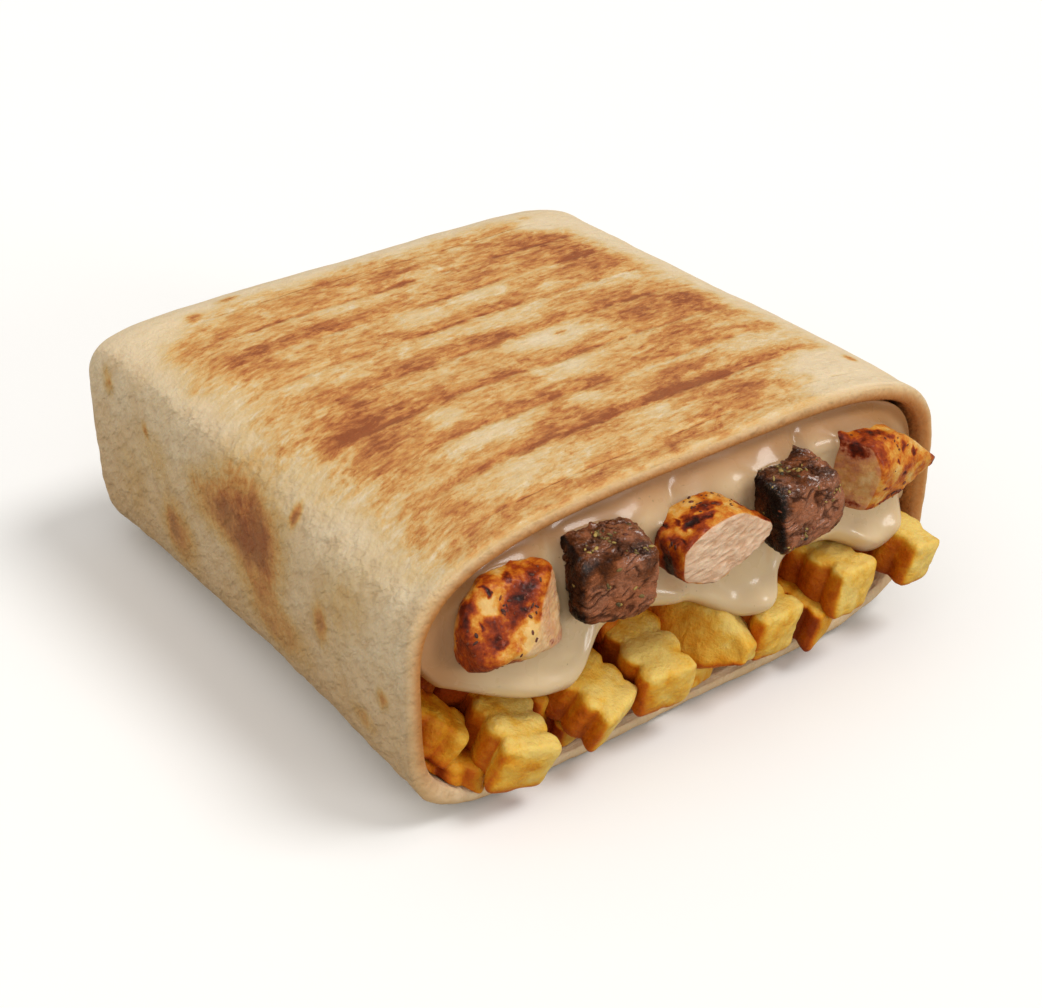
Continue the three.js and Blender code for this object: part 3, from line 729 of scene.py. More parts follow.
def fry_shape(spec, seed):
    """One crinkle-cut fry: a rounded section |u|^n + |v|^n = 1 carried back from its tip, narrowed
    towards a pointed tip and roughened. Notches draw its sides in, and more shallowly its top and
    underside: a notch is one less a softened sine's size, so that lobes are round and valleys sharp.
    What would reach out through the wrap is drawn back in. It is browner along its edges, by its own
    brownness, which for the fries further in is partly painted shade, and on its sides partly as
    browning and partly as painted shade. The browner colour in the notches, where it is turned down
    or away to the left, and further in is painted shade."""
    tip, turn, dip, roll, wide, high, length, point, slant, pitch, brown = spec
    out = direction(turn, -dip)
    turn, roll = math.radians(turn), math.radians(roll)
    side = np.array([math.cos(turn), math.sin(turn), 0.0])
    up = -np.cross(side, out)
    right = side * math.cos(roll) - up * math.sin(roll)
    top = up * math.cos(roll) + side * math.sin(roll)
    angle = np.arange(FRY_AROUND) / FRY_AROUND * 2 * math.pi
    angle = angle + 0.16 * np.sin(4 * angle)
    reach = (np.abs(np.cos(angle)) ** FRY_POWER + np.abs(np.sin(angle)) ** FRY_POWER) ** (-1 / FRY_POWER)
    across, over = np.cos(angle) * reach, np.sin(angle) * reach
    rounding = np.linspace(0.04, math.pi / 2, 15)
    near = min(length, FINE_LENGTH)
    stretch = [np.arange(0.3, near, FINE_STEP), np.arange(near, length + 0.1, COARSE_STEP)]
    stretch = np.concatenate(stretch)
    back = np.concatenate([FRY_END * (1.0 - np.cos(rounding) ** 0.6), FRY_END + stretch])[:, None]
    shrink = np.concatenate([np.sin(rounding) ** 0.6, np.ones(len(stretch))])[:, None]
    phase = back / pitch - 0.86 + 0.06 * math.sin(seed)
    crinkle = 1.0 - np.sqrt(0.01 + 0.99 * np.sin(math.pi * phase) ** 2)
    crinkle = crinkle * smooth(point, 0.2, 1.0)
    notch = RIDGE_DEPTH * crinkle * (0.8 + 0.2 * np.sin(3.1 * seed + back))
    narrow = point + (1.0 - point) * smooth(back, -1.0, length / 3)
    u = across * shrink * (wide / 2 * (1 + narrow) / 2 - notch)
    v = over * shrink * (high / 2 * narrow - RIDGE_GROOVE * crinkle**1.4)
    lengthwise = back + slant * u
    place = np.array(tip) - out * lengthwise[..., None] + right * u[..., None] + top * v[..., None]
    local = np.stack([u, lengthwise, v], -1) + 37.0 * seed
    normals = ring_normals(place)
    rough = 0.5 * noise(local, 4.2, seed, 2) + 0.22 * noise(local, 1.6, seed + 50, 2)
    place = place + normals * rough[..., None]
    x, y, z = (place[..., k] for k in range(3))
    middle = (HEIGHT - SINK) / 2
    outside = np.maximum(inside_share(x, y, z, WALL + 0.2), 1.0)
    squeeze = 1.0 + (1.0 / outside - 1.0) * smooth(y, MOUTH - 2.0, MOUTH + 1.0)
    place = np.stack([x * squeeze, y, middle + (z - middle) * squeeze], -1)
    corner = smooth(np.abs(across * over) * shrink, 0.72, 1.0)
    sides = smooth(np.abs(across) * shrink, 0.9, 1.0) * (1 - corner)
    # Painted shade: browner where the fry turns down or to the left, in the notches and further into the
    # hollow
    turned_away_shade = smooth(-normals[..., 2] - 0.9 * normals[..., 0], 0.0, 0.9)
    fried = 0.12 * crinkle + 0.26 * corner + 0.3 * noise(local, 3.8, seed + 80, 2)
    fried = fried + 0.02 + brown + 0.1 * sides + 0.62 * turned_away_shade + 0.3 * smooth(y, -60.0, -52.0)
    return (*loft(place), {"fried": loft_values(fried)})


def heap_fries():
    """The fries that show: those named at the mouth, and a row behind them that fills the gaps,
    turned, dipped and rolled by seeded random draws."""
    shapes = [fry_shape(spec, 1 + k) for k, spec in enumerate(FRIES)]
    draw = np.random.default_rng(12)
    for k in range(REAR_FRIES):
        height = 8.0 + 11.0 * (k % 2) + draw.uniform(-1.5, 1.5)
        tip = (REAR_START + REAR_SPACING * k, draw.uniform(-55.0, -52.0), height)
        angles = (draw.uniform(-25, 25), draw.uniform(-4, 16), draw.uniform(0, 40))
        # The rear row's brownness is partly painted shade deep in the hollow
        shapes.append(fry_shape((tip, *angles, 10.0, 9.6, 8, 1.0, 0.0, 5.0, 0.35), 40 + k))
    return joined(shapes)


def core_shape():
    """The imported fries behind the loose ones: the wrap's hollow below the sauce, with a bumpy
    front. Its height is the lesser of the hollow's ceiling and the sauce's floor."""
    y = np.concatenate([np.linspace(CORE_FRONT, CORE_FRONT + 3, 5), np.linspace(-40, 41, 20)])
    inset = WALL + GAP
    body = sections(y, inset, inset, inset, CORE_AROUND)
    rings = np.concatenate([body, folded_end(inset, 8, (0.6, 0.25), CORE_AROUND)])
    rings[..., 2] = np.minimum(rings[..., 2], SAUCE_FLOOR - 0.6 + 0.4 * np.sin(rings[..., 0] / 5))
    front = rings[0]
    middle = front.mean(axis=0)
    cap = middle + (front - middle) * np.linspace(0.04, 0.98, 24)[:, None, None]
    cap[..., 1] += 1.2 * noise(cap, 6.0, 60, 2)
    rings = np.concatenate([cap, rings])
    # Its high brownness is partly painted shade deep in the hollow
    return (*loft(rings), {"fried": loft_values(np.full(rings.shape[:2], 0.9))})


def meat_points(spec):
    """Points, normals and quads of a chunk's smooth surface: rays from its middle, each as long as
    the reciprocal of its norm."""
    rays, quads = ball_grid(MEAT_CELLS)
    points = rays / chunk_norm(rays, spec)[:, None]
    return points, point_normals(points, quads), quads


def shaken(points, amount, size, seed, octaves):
    """Points moved each way by its own noise."""
    return points + amount * np.stack([noise(points, size, seed + k, octaves) for k in range(3)], -1)


def fibres(local, turn, lift, size, seed, long):
    """Streaky noise along a direction: the cells are some times as long that way as across."""
    along = direction(turn, lift)
    side = unit(np.cross(along, (0.3, 0.2, 1.0)))
    turned = np.stack([local @ along / long, local @ side, local @ np.cross(side, along)], -1)
    return noise(turned + 50.0, size, seed, 2)


def beef_shape(node, seed):
    """A seared cube of beef: the chunk's surface moved by lumps, by a grain, and by wrinkles at two
    sizes that lie along its fibres, each a valley where its noise crosses zero. It is seared on top
    and towards its edges, which are furthest from its middle, and its left faces are darkened with
    painted shade. It is glossy, with painted sheen, in patches where it faces up and forward."""
    spec = MEAT[node]
    points, normals, quads = meat_points(spec)
    up = smooth(normals[:, 2], 0.45, 0.8)
    bent = shaken(points, 0.9, 3.0, seed + 11, 1)
    bundle = fibres(bent, *BEEF_GRAIN, 1.5, seed, 2.6)
    strand = fibres(bent, *BEEF_GRAIN, 0.75, seed + 40, 3.4)
    wide = np.exp(-((bundle / 0.13) ** 2)) * smooth(noise(points, 3.0, seed + 2, 2), -0.3, 0.3)
    thin = np.exp(-((strand / 0.2) ** 2)) * smooth(noise(points, 2.2, seed + 4, 2), -0.4, 0.4)
    lumps = noise(points, 3.4, seed + 3, 2)
    grain = noise(points, 0.85, seed + 5, 2)
    move = 0.42 * lumps + 0.26 * bundle + 0.12 * strand + (0.16 + 0.1 * up) * grain
    move = move - 0.28 * wide - 0.16 * thin
    # Where the coat is glossy, and where pale specks of painted sheen go
    shining = smooth(normals @ np.array(GLOSS_FACING), 0.2, 0.9)
    gloss = 0.04 + 0.96 * shining * smooth(noise(points, 2.6, seed + 9, 2), -0.5, 0.3)
    far = np.linalg.norm(points, axis=1)
    # The darkening of the faces turned to the left is painted shade, not sear
    sear = 0.32 * smooth(far, 8.2, 10.8) + 0.2 * up + 0.6 * smooth(-normals[:, 0], 0.2, 0.7)
    sear = sear + 0.12 * smooth(points[:, 2], -1.0, 5.0) + 0.66 * noise(points, 2.4, seed + 7, 3)
    values = {"sear": sear, "crack": np.maximum(wide, 0.6 * thin), "gloss": gloss}
    return points + normals * move[:, None] + spec[0], quads, no_triangles(), values


# Chicken: where it is charred, and on the chicken on the left one band of painted shade, as [across,
# out, up, half sizes, strength] from its middle; below zero it is paler
CHARS = {
    "chicken_left": (
        (-5.3, -5.2, 0.3, 1.1, 2.0, 1.0, 0.55), (-5.3, -4.6, 1.2, 2.2, 2.2, 2.1, 0.36),
        (-0.8, -3.4, 4.0, 2.3, 2.2, 2.0, 0.4), (0.6, -3.0, 3.0, 0.9, 1.6, 0.5, 0.3),
        (-2.8, -4.0, 2.4, 1.6, 2.2, 1.6, 0.24), (0.8, -2.8, 5.2, 1.6, 1.8, 1.0, 0.3),
        (2.3, -2.0, 6.2, 1.9, 1.6, 0.8, 0.55), (3.8, -1.4, 6.0, 0.9, 1.4, 1.6, 0.32),
        (4.9, -0.9, 7.3, 1.2, 1.6, 1.0, 0.4), (-4.0, -0.2, 6.4, 0.45, 1.2, 0.7, 0.9),
        (-7.9, 0.2, 4.4, 1.5, 2.4, 1.7, 0.45), (-9.0, -1.0, 3.0, 0.9, 2.0, 1.4, 0.4),
        (-6.8, -2.9, 2.4, 0.35, 1.4, 0.6, 0.7), (0.1, 0.2, 7.3, 0.9, 1.2, 0.4, 0.6),
        (8.1, -2.3, 2.6, 0.4, 1.4, 1.0, 0.7), (9.2, -2.2, -2.2, 0.5, 1.4, 0.6, 0.8),
        (5.4, -4.9, -4.8, 1.1, 1.4, 0.5, 1.0), (0.7, -5.4, -6.6, 3.0, 1.6, 0.6, 0.5),
        (-4.2, -4.6, -6.2, 2.6, 1.6, 0.6, 0.5), (4.6, -5.0, 2.6, 0.3, 1.2, 0.6, 0.5),
        (5.8, -4.6, 0.4, 0.4, 1.2, 0.4, 0.5), (-5.2, -2.9, 3.0, 1.3, 1.6, 1.2, 0.22),
        (-8.6, -3.0, -2.2, 0.4, 1.4, 0.5, 0.6), (-7.4, -4.2, -3.4, 0.9, 1.4, 0.4, 0.5),
        (-5.0, -1.5, 4.9, 1.8, 2.0, 1.6, -0.26), (0.6, -6.2, -0.6, 3.0, 2.4, 3.0, -0.4),
        # The second patch on this line, a long band low on the front, is painted shade, not char
        (1.8, -5.8, -3.8, 3.4, 2.4, 2.0, -0.3), (-2.0, -5.0, -5.6, 7.0, 3.0, 1.8, 0.3),
        (-8.6, -1.0, -1.0, 1.6, 3.0, 5.0, 0.22),
    ),
    "chicken_middle": (
        (-3.0, -1.4, 5.8, 3.6, 2.2, 1.6, 0.3), (-1.8, -0.3, 6.1, 2.1, 1.2, 0.8, 0.55),
        (-4.9, -2.3, 5.5, 2.1, 0.8, 1.6, 0.7), (-1.7, -2.7, 6.0, 1.4, 0.7, 1.4, 0.5),
        (-5.6, -0.6, 5.4, 0.8, 1.2, 1.4, 0.45), (-6.6, -2.4, 4.8, 1.2, 0.8, 1.2, 0.4),
        (-3.4, -1.4, 5.9, 0.9, 0.5, 1.2, -0.3), (1.0, -0.8, 6.2, 1.2, 0.7, 1.4, 0.35),
        (7.7, 1.1, 2.7, 1.5, 1.2, 0.7, 0.35), (9.1, -0.6, 1.8, 1.3, 1.2, 0.6, 0.45),
        (9.4, -4.0, 1.2, 1.2, 1.2, 0.6, 0.5), (-10.4, -1.9, -0.8, 1.4, 1.6, 1.9, 0.85),
        (-10.3, -0.5, 1.6, 0.8, 1.2, 1.3, 0.5), (-9.6, -3.6, -3.2, 0.9, 1.4, 0.8, 0.45),
        (-4.3, -5.0, -5.5, 2.2, 1.4, 0.6, 0.8), (3.4, -4.8, -4.8, 2.4, 1.4, 0.6, 0.55),
        (9.5, -4.4, -1.6, 0.6, 1.4, 1.4, 0.5), (-7.0, 0.0, 4.7, 0.45, 1.2, 0.55, 0.9),
        (-8.6, 1.8, 3.9, 0.4, 1.2, 0.45, 0.8), (-8.9, -3.5, 3.8, 0.35, 1.2, 0.5, 0.7),
        (-9.6, -2.4, 3.2, 0.3, 1.2, 0.4, 0.6),
    ),
    "chicken_right": (
        # The first patch, a pale place on the cut face, is kept weak so that face stays darker as painted
        # shade
        (-8.6, -4.0, 0.5, 3.4, 4.2, 5.4, -0.12), (-9.2, -1.8, 7.8, 2.3, 1.5, 1.5, 0.8),
        (-7.4, -2.4, 7.6, 1.6, 1.3, 1.0, 0.55), (-3.2, -0.2, 8.6, 2.3, 1.1, 1.2, 0.6),
        (-2.0, -2.4, 8.2, 1.2, 0.7, 1.0, 0.45), (-11.2, 1.6, 9.0, 1.0, 1.4, 1.0, 0.5),
        (10.6, -4.0, -0.4, 1.3, 1.8, 0.8, 1.1), (0.3, -5.4, 1.5, 0.45, 1.2, 0.55, 0.9),
        (-5.0, -5.7, 0.3, 0.4, 1.2, 0.45, 0.8), (-2.3, -5.6, 4.8, 0.35, 1.2, 0.45, 0.7),
        (3.2, -4.4, 4.4, 0.5, 1.2, 0.6, 0.6), (0.5, -3.9, 6.5, 0.8, 1.2, 0.6, 0.45),
        (-9.0, -2.6, -3.0, 2.4, 1.8, 0.6, 0.45), (-4.6, -4.8, -3.4, 3.0, 1.8, 0.5, 0.5),
        (1.8, -4.4, -3.0, 2.0, 1.6, 0.5, 0.6), (6.4, -4.2, -1.8, 2.0, 1.6, 0.5, 0.45),
        (-6.6, -4.6, 2.6, 1.4, 1.6, 2.0, -0.12),
    ),
}
# The cut face of a piece that shows its inside: its turn and lift, how nearly a surface has to face
# that way, how pale it is, and how brown the rest of the piece is
CUT_FACES = {
    "chicken_left": (36, -16, 0.82, 0.55, 0.34),
    "chicken_middle": (4, 2, 0.8, 1.0, 0.31),
    # The right piece's cut face turns to the left and is kept less pale as painted shade
    "chicken_right": (-65, -2, 0.84, 0.3, 0.24),
}
# Where char begins to saturate, and how much of what is past that is taken off
CHAR_KNEE, CHAR_LOSS = 0.62, 0.45
# Which way the fibres of the beef and of the cut chicken lie, as turn and lift
BEEF_GRAIN, CHICKEN_GRAIN = (58, 30), (75, 8)
# Which way the beef's gloss and its painted sheen face
GLOSS_FACING = (-0.1, -0.62, 0.78)

# Where herbs cling to the beef, from the middle of each piece
HERBS = {
    "beef_left": ((-0.5, 1.5, 6.6), (-0.8, -0.7, 6.5), (0.6, -0.4, 6.5), (-5.1, -1.4, 6.2),
                  (-4.6, -5.6, 1.4), (-2.8, -6.1, -2.7), (0.9, -6.7, 6.0), (3.1, -6.4, 6.2)),
    "beef_right": ((-2.2, 1.1, 6.6), (-2.5, -0.4, 6.5), (-0.3, -2.2, 6.4), (-5.5, 2.5, 6.4),
                   (-6.9, -3.6, 5.9), (-2.6, -6.9, -3.7), (3.9, -7.1, 2.5), (-5.3, -6.7, -5.1)),
}
# Flecks: how many herbs on a piece of beef, how many pepper grains on a piece of each kind, how many
# clusters are drawn for them, and the chance of a fleck away from every cluster, by their reach
HERB_COUNT = 60
PEPPER_COUNTS = {"beef": 10, "chicken": 46}
PEPPER_CLUSTERS = 14
STRAY_CHANCE = 0.012


def chicken_shape(node, seed):
    """A grilled piece of chicken: the chunk's surface moved by lumps and by fibres on its cut face,
    with a tighter, blistered skin elsewhere. Char is a sum of patches, broken up by noise, over a
    browning that grows towards the edges, and it saturates where it is darkest; one patch on the piece
    on the left is painted shade."""
    spec = MEAT[node]
    points, normals, quads = meat_points(spec)
    turn, lift, nearness, paleness, brown = CUT_FACES[node]
    facing = normals @ direction(turn, lift)
    cut = smooth(facing + 0.06 * noise(points, 2.0, seed + 9), nearness - 0.04, nearness + 0.06)
    streak = fibres(points, *CHICKEN_GRAIN, 0.55, seed, 8.0)
    lumps = noise(points, 3.2, seed + 3, 2)
    blister = noise(points, 1.3, seed + 5, 2)
    char = np.zeros(len(points))
    warped = shaken(points, 0.9, 1.4, seed + 21, 3)
    for x, y, z, wide, deep, high, strength in CHARS[node]:
        offset = (warped - np.array([x, y, z])) / np.array([wide, deep, high])
        char += 1.1 * strength * np.exp(-((offset**2).sum(axis=1) ** 1.7))
    far = np.linalg.norm(points, axis=1)
    edge = smooth(far / np.percentile(far, 75), 0.94, 1.25)
    char = char * (1.0 + 0.6 * noise(points, 1.0, seed + 11, 2))
    char = char + brown + 0.28 * edge + 0.4 * noise(points, 2.6, seed + 13, 2)
    char = char - CHAR_LOSS * np.maximum(char - CHAR_KNEE, 0.0)
    move = 0.46 * lumps + (1 - cut) * 0.2 * blister + cut * paleness * 0.24 * streak
    move = move - 0.12 * smooth(char, 0.7, 1.2)
    pale = cut * paleness
    values = {"char": char * (1 - 0.6 * pale), "cut": pale, "streak": 0.5 + 0.5 * streak}
    return points + normals * move[:, None] + spec[0], quads, no_triangles(), values


def fleck(place, normal, spin, size):
    """One fleck of herb or pepper: a flattened ball of five rings of eight points, laid along the
    surface."""
    angles = (np.linspace(0.35, math.pi - 0.35, 5), np.arange(8) / 8 * 2 * math.pi)
    theta, phi = np.meshgrid(*angles, indexing="ij")
    ball = np.stack([np.sin(theta) * np.cos(phi), np.sin(theta) * np.sin(phi), np.cos(theta)], -1) * size
    side = unit(np.cross(normal, (0.3, 0.9, 0.31)))
    long = side * math.cos(spin) + np.cross(normal, side) * math.sin(spin)
    return loft(place + ball @ np.stack([long, np.cross(normal, long), normal]))


def scatter(meats, seed, sizes, thickness, reach):
    """Flecks on the outer faces of pieces of meat, each laid along the surface. They are drawn near
    the middles of clusters, by a bell curve of their distance over the reach. Where no middles are
    given, some points that face the mouth or up are drawn as the middles."""
    draw = np.random.default_rng(seed)
    parts = []
    for points, quads, count, bare, middles in meats:
        normals = point_normals(points, quads)
        seen = np.flatnonzero((normals[:, 1] < 0.3) & (points[:, 1] < -59.0) & (bare < 0.3))
        if middles is None:
            middles = points[draw.choice(seen, PEPPER_CLUSTERS)]
        gaps = np.linalg.norm(points[seen][:, None] - middles, axis=-1).min(axis=1)
        chance = np.exp(-((gaps / reach) ** 2)) + STRAY_CHANCE * reach
        for index in draw.choice(seen, count, p=chance / chance.sum()):
            long = draw.uniform(*sizes)
            size = np.array([long, long * draw.uniform(0.35, 0.75), thickness])
            place = points[index] + normals[index] * thickness * 0.2
            shape = fleck(place, normals[index], draw.uniform(0, math.pi), size)
            parts.append((*shape, {"shade": np.full(len(shape[0]), draw.uniform(0, 1))}))
    return joined(parts)


# What the subsurface radii of every food are multiplied by
SUBSURFACE_SCALE = 0.5


class Wire:
    """A socket of a material's nodes. Sums, products and differences of wires and numbers add the
    Math nodes that work them out."""

    def __init__(self, paint, socket):
        self.paint = paint
        self.socket = socket

    def math(self, operation, first, second=0.0):
        return self.paint.node("ShaderNodeMath", {"operation": operation}, {0: first, 1: second})

    def __add__(self, other):
        return self.math("ADD", self, other)

    def __radd__(self, other):
        return self.math("ADD", other, self)

    def __sub__(self, other):
        return self.math("SUBTRACT", self, other)

    def __rsub__(self, other):
        return self.math("SUBTRACT", other, self)

    def __mul__(self, other):
        return self.math("MULTIPLY", self, other)

    def __abs__(self):
        return self.math("ABSOLUTE", self)


class Paint:
    """One material: a Principled shader, and one method that adds any other node."""

    def __init__(self, name, **constants):
        self.material = bpy.data.materials.new(name)
        self.material.use_nodes = True
        self.tree = self.material.node_tree
        self.shader = self.tree.nodes["Principled BSDF"]
        for key, value in {"subsurface_scale": SUBSURFACE_SCALE, **constants}.items():
            self.socket(key).default_value = value
        self.place = self.node("ShaderNodeTexCoord", out="Object")

    def socket(self, key):
        """The shader's socket for a name written with underscores."""
        return self.shader.inputs[key.replace("_", " ").title().replace("Ior", "IOR")]

    def node(self, kind, settings=(), sockets=(), out=0):
        """Adds a node: its settings first, then the numbers or wires of its sockets."""
        new = self.tree.nodes.new(kind)
        for key, value in dict(settings).items():
            if key == "stops":
                ramp = new.color_ramp
                while len(ramp.elements) < len(value):
                    ramp.elements.new(1.0)
                for element, (position, colour) in zip(ramp.elements, value):
                    element.position = position
                    element.color = (*colour, 1.0)
            else:
                setattr(new, key, value)
        for key, value in dict(sockets).items():
            if isinstance(value, Wire):
                self.tree.links.new(value.socket, new.inputs[key])
            else:
                new.inputs[key].default_value = value
        return Wire(self, new.outputs[out])

    def attribute(self, name):
        """One of the piece's own values."""
        return self.node("ShaderNodeAttribute", {"attribute_name": name}, out="Fac")

    def noise(self, size, detail=3.0, rough=0.55, stretch=(1, 1, 1), turn=(0, 0, 0), warp=0.0):
        """Noise from 0 to 1 with cells of a size in millimetres, stretched along the axes."""
        scale = tuple(size * MM * s for s in stretch)
        settings = {"vector_type": "TEXTURE"}
        sockets = {"Vector": self.place, "Rotation": turn, "Scale": scale}
        place = self.node("ShaderNodeMapping", settings, sockets)
        sockets = {"Vector": place, "Scale": 1.0, "Detail": detail, "Roughness": rough,
                   "Distortion": warp}
        return self.node("ShaderNodeTexNoise", {}, sockets)

    def step(self, value, low, high):
        """0 below low and 1 above high, smooth between."""
        sockets = {"Value": value, "From Min": low, "From Max": high}
        return self.node("ShaderNodeMapRange", {"interpolation_type": "SMOOTHSTEP"}, sockets)

    def mix(self, factor, first, second):
        """A mix of two colours, each a wire or three numbers."""
        first, second = (c if isinstance(c, Wire) else (*c, 1.0) for c in (first, second))
        return self.node("ShaderNodeMix", {"data_type": "RGBA"}, {0: factor, 6: first, 7: second}, 2)

    def ramp(self, value, *stops):
        """A colour that follows a value through stops of (position, colour)."""
        return self.node("ShaderNodeValToRGB", {"stops": stops}, {0: value})

    def bump(self, height, distance, strength=1.0, under=None):
        """A normal from heights, with the distance in millimetres that a height of 1 stands for."""
        sockets = {"Height": height, "Distance": distance * MM, "Strength": strength}
        if under:
            sockets["Normal"] = under
        return self.node("ShaderNodeBump", {}, sockets)

    def finish(self, **wires):
        """Links wires to the shader's sockets and returns the material."""
        for key, value in wires.items():
            self.tree.links.new(value.socket, self.socket(key))
        return self.material


def srgb(red, green, blue):
    """A linear colour from 0 to 255 screen values: the sRGB curve's inverse."""
    def linear(value):
        c = value / 255.0
        return c / 12.92 if c <= 0.04045 else ((c + 0.055) / 1.055) ** 2.4
    return tuple(linear(v) for v in (red, green, blue))


def bread_material(colours):
    """Pale wheat flatbread with fine wrinkles, toasted where the toast value is high. The toast is
    mottled and has flaky patches, veins and thin dark lines where the plate's ribs were. The sides
    are tanned in places, with painted shade in the wrinkles' valleys and towards the bottom. The lip
    and the inside are warmer, less so lower down, where they are kept paler as painted light against
    the shade of the fries."""
    paint = Paint("wheat_flatbread", roughness=0.62, specular_ior_level=0.2, subsurface_weight=0.12,
                  subsurface_radius=(0.004, 0.0022, 0.001))
    toast = paint.attribute("toast")
    plate = paint.attribute("plate")
    streak = paint.noise(3.0, 8.0, 0.68, (1.5, 1.0, 1.0), (0, 0, 0.12), 0.4)
    fine = paint.noise(1.2, 4.0, 0.6, (2.2, 0.8, 1.0), (0, 0, 0.1))
    broad = paint.noise(9.0, 3.0, 0.5, (1.4, 1.0, 1.0))
    mottle = (streak - 0.5) * 1.2 + (fine - 0.5) * 1.7 + (broad - 0.5) * 0.7
    depth = paint.step(toast, 0.02, 0.35)
    flake = paint.noise(5.0, 7.0, 0.7, (1.6, 1.0, 1.0), (0, 0, 0.12), 0.5)
    patch = paint.step(flake, 0.45, 0.55) - 0.5
    wave = paint.noise(6.0, 5.0, 0.6, (2.4, 0.8, 1.0), (0, 0, 0.16))
    vein = 1.0 - paint.step(abs(wave - 0.5), 0.0, 0.02)
    browned = toast + mottle * (0.1 + depth * (0.34 + plate * 0.24))
    browned = browned + (patch * 0.22 + vein * 0.12) * depth * plate
    place = paint.attribute("press")
    wobble = (paint.noise(6.0, 4.0, 0.6, (1.6, 1.0, 1.0)) - 0.5) * 0.3
    shifted = place + wobble
    near = abs(shifted - shifted.math("ROUND", shifted))
    broken = paint.step(paint.noise(7.0, 2.0, 0.5, (1.2, 2.0, 1.0)), 0.38, 0.55)
    line = (1.0 - paint.step(near, 0.0, 0.1)) * paint.attribute("pressed") * broken
    browned = browned + line * 0.3
    bread = paint.ramp(browned * 0.94, (0.0, tuple(colours.bread)), (0.14, srgb(222, 195, 148)),
                       (0.34, srgb(219, 180, 119)), (0.55, srgb(207, 150, 84)),
                       (0.78, srgb(184, 114, 62)), (1.0, srgb(148, 80, 44)))
    side = 1.0 - plate
    tint = paint.noise(8.0, 4.0, 0.6, (1.0, 1.5, 1.0), (-0.785, 0, 0))
    tan = paint.mix(paint.step(tint, 0.36, 0.7) * (0.06 + side * 0.3), bread, srgb(204, 164, 106))
    # Painted shade: the sides are darker towards the bottom
    low = 1.0 - paint.step(paint.attribute("height"), 0.05, 0.8)
    outer = 1.0 - paint.attribute("inner")
    lower = paint.mix(low * side * outer * 0.6, tan, srgb(192, 150, 98))
    wrinkle = paint.noise(2.4, 2.0, 0.5, (0.8, 1.7, 0.8), (-0.785, 0, 0), 0.1)
    # Painted shade in the valleys of the wrinkles
    crease_shade = (1.0 - paint.step(wrinkle, 0.34, 0.52)) * (0.06 + side * 0.1)
    crease_shaded = paint.mix(crease_shade, lower, srgb(180, 134, 82))
    # Painted light: the lip and the inside are kept paler lower down, against the shade of the fries
    raised = paint.step(paint.attribute("height"), 0.03, 0.4)
    rim = paint.mix(paint.attribute("lip") * (0.1 + raised * 0.5), crease_shaded, srgb(198, 156, 100))
    inner = paint.mix(paint.attribute("inner") * raised * 0.9, rim, srgb(182, 118, 56))
    pores = paint.noise(0.6, 3.0, 0.6)
    height = wrinkle * (0.4 + side * 1.4) + pores * 0.2 + streak * 0.3 + fine * 0.2 - line * 0.2
    calm = 1.0 - paint.attribute("lip") * 0.6
    normal = paint.bump(height * calm, 1.0, 0.9)
    rough = 0.56 + paint.step(browned, 0.2, 0.8) * 0.08 + (fine - 0.5) * 0.2
    return paint.finish(base_color=inner, roughness=rough, normal=normal)


def sauce_material():
    """Glossy cream cheese sauce, warmer and darker where the thin value is high: at its thin lower edge
    partly for oil and partly as painted bounce light from the fries, and as painted shade at both ends
    and under the wrap's lip. Painted contact shadow darkens it next to the meat, and it has faint
    grey-green flecks under the surface."""
    paint = Paint("cheese_sauce", roughness=0.3, specular_ior_level=0.34, subsurface_weight=0.25,
                  subsurface_radius=(0.005, 0.003, 0.0012), coat_weight=0.3,
                  coat_roughness=0.08)
    cloud = paint.noise(7.0, 3.0, 0.5)
    cream = paint.mix(cloud, srgb(214, 187, 145), srgb(225, 201, 162))
    # Warmer at the thin lower edge, partly oil and partly painted bounce light from the fries, and
    # painted shade at both ends and under the wrap's lip
    thin = paint.step(paint.attribute("thin"), 0.1, 1.0)
    warm_and_shaded = paint.mix(thin * 0.85, cream, srgb(174, 122, 72))
    fleck_noise = paint.noise(1.1, 2.0, 0.4)
    fleck_mask = paint.step(fleck_noise, 0.71, 0.75) * paint.step(paint.noise(9.0, 1.0, 0.5), 0.45, 0.6)
    tinted = paint.mix(fleck_mask * 0.55, warm_and_shaded, srgb(140, 122, 84))
    # Painted contact shadow on the sauce next to the meat
    contact_shadow_amount = paint.attribute("stain") * (0.3 + cloud * 0.5)
    contact_shaded = paint.mix(contact_shadow_amount, tinted, srgb(126, 84, 44))
    normal = paint.bump(paint.noise(3.0, 2.0, 0.4), 0.1, 0.4)
    rough = 0.22 + cloud * 0.12
    return paint.finish(base_color=contact_shaded, roughness=rough, normal=normal)


def fries_material():
    """Fried potato: pale gold on the lobes, deep orange-brown in blotches and where the
    browning-and-shade value is high, which holds real browning and painted shade."""
    paint = Paint("fried_potato", roughness=0.45, specular_ior_level=0.16, subsurface_weight=0.22,
                  subsurface_radius=(0.004, 0.002, 0.0006))
    blotch = paint.noise(3.2, 4.0, 0.6, warp=0.5)
    grain = paint.noise(0.7, 4.0, 0.65)
    fried = paint.attribute("fried") + (blotch - 0.5) * 0.7 + (grain - 0.5) * 0.22
    gold = paint.ramp(fried, (0.0, srgb(230, 198, 108)), (0.2, srgb(225, 178, 70)),
                      (0.42, srgb(214, 144, 28)), (0.68, srgb(196, 100, 8)), (1.0, srgb(146, 56, 4)))
    height = paint.noise(1.1, 4.0, 0.6) + grain * 0.4
    normal = paint.bump(height + paint.noise(2.4, 3.0, 0.6, warp=0.8) * 1.2, 0.42, 0.75)
    rough = 0.34 + grain * 0.24
    return paint.finish(base_color=gold, roughness=rough, normal=normal)


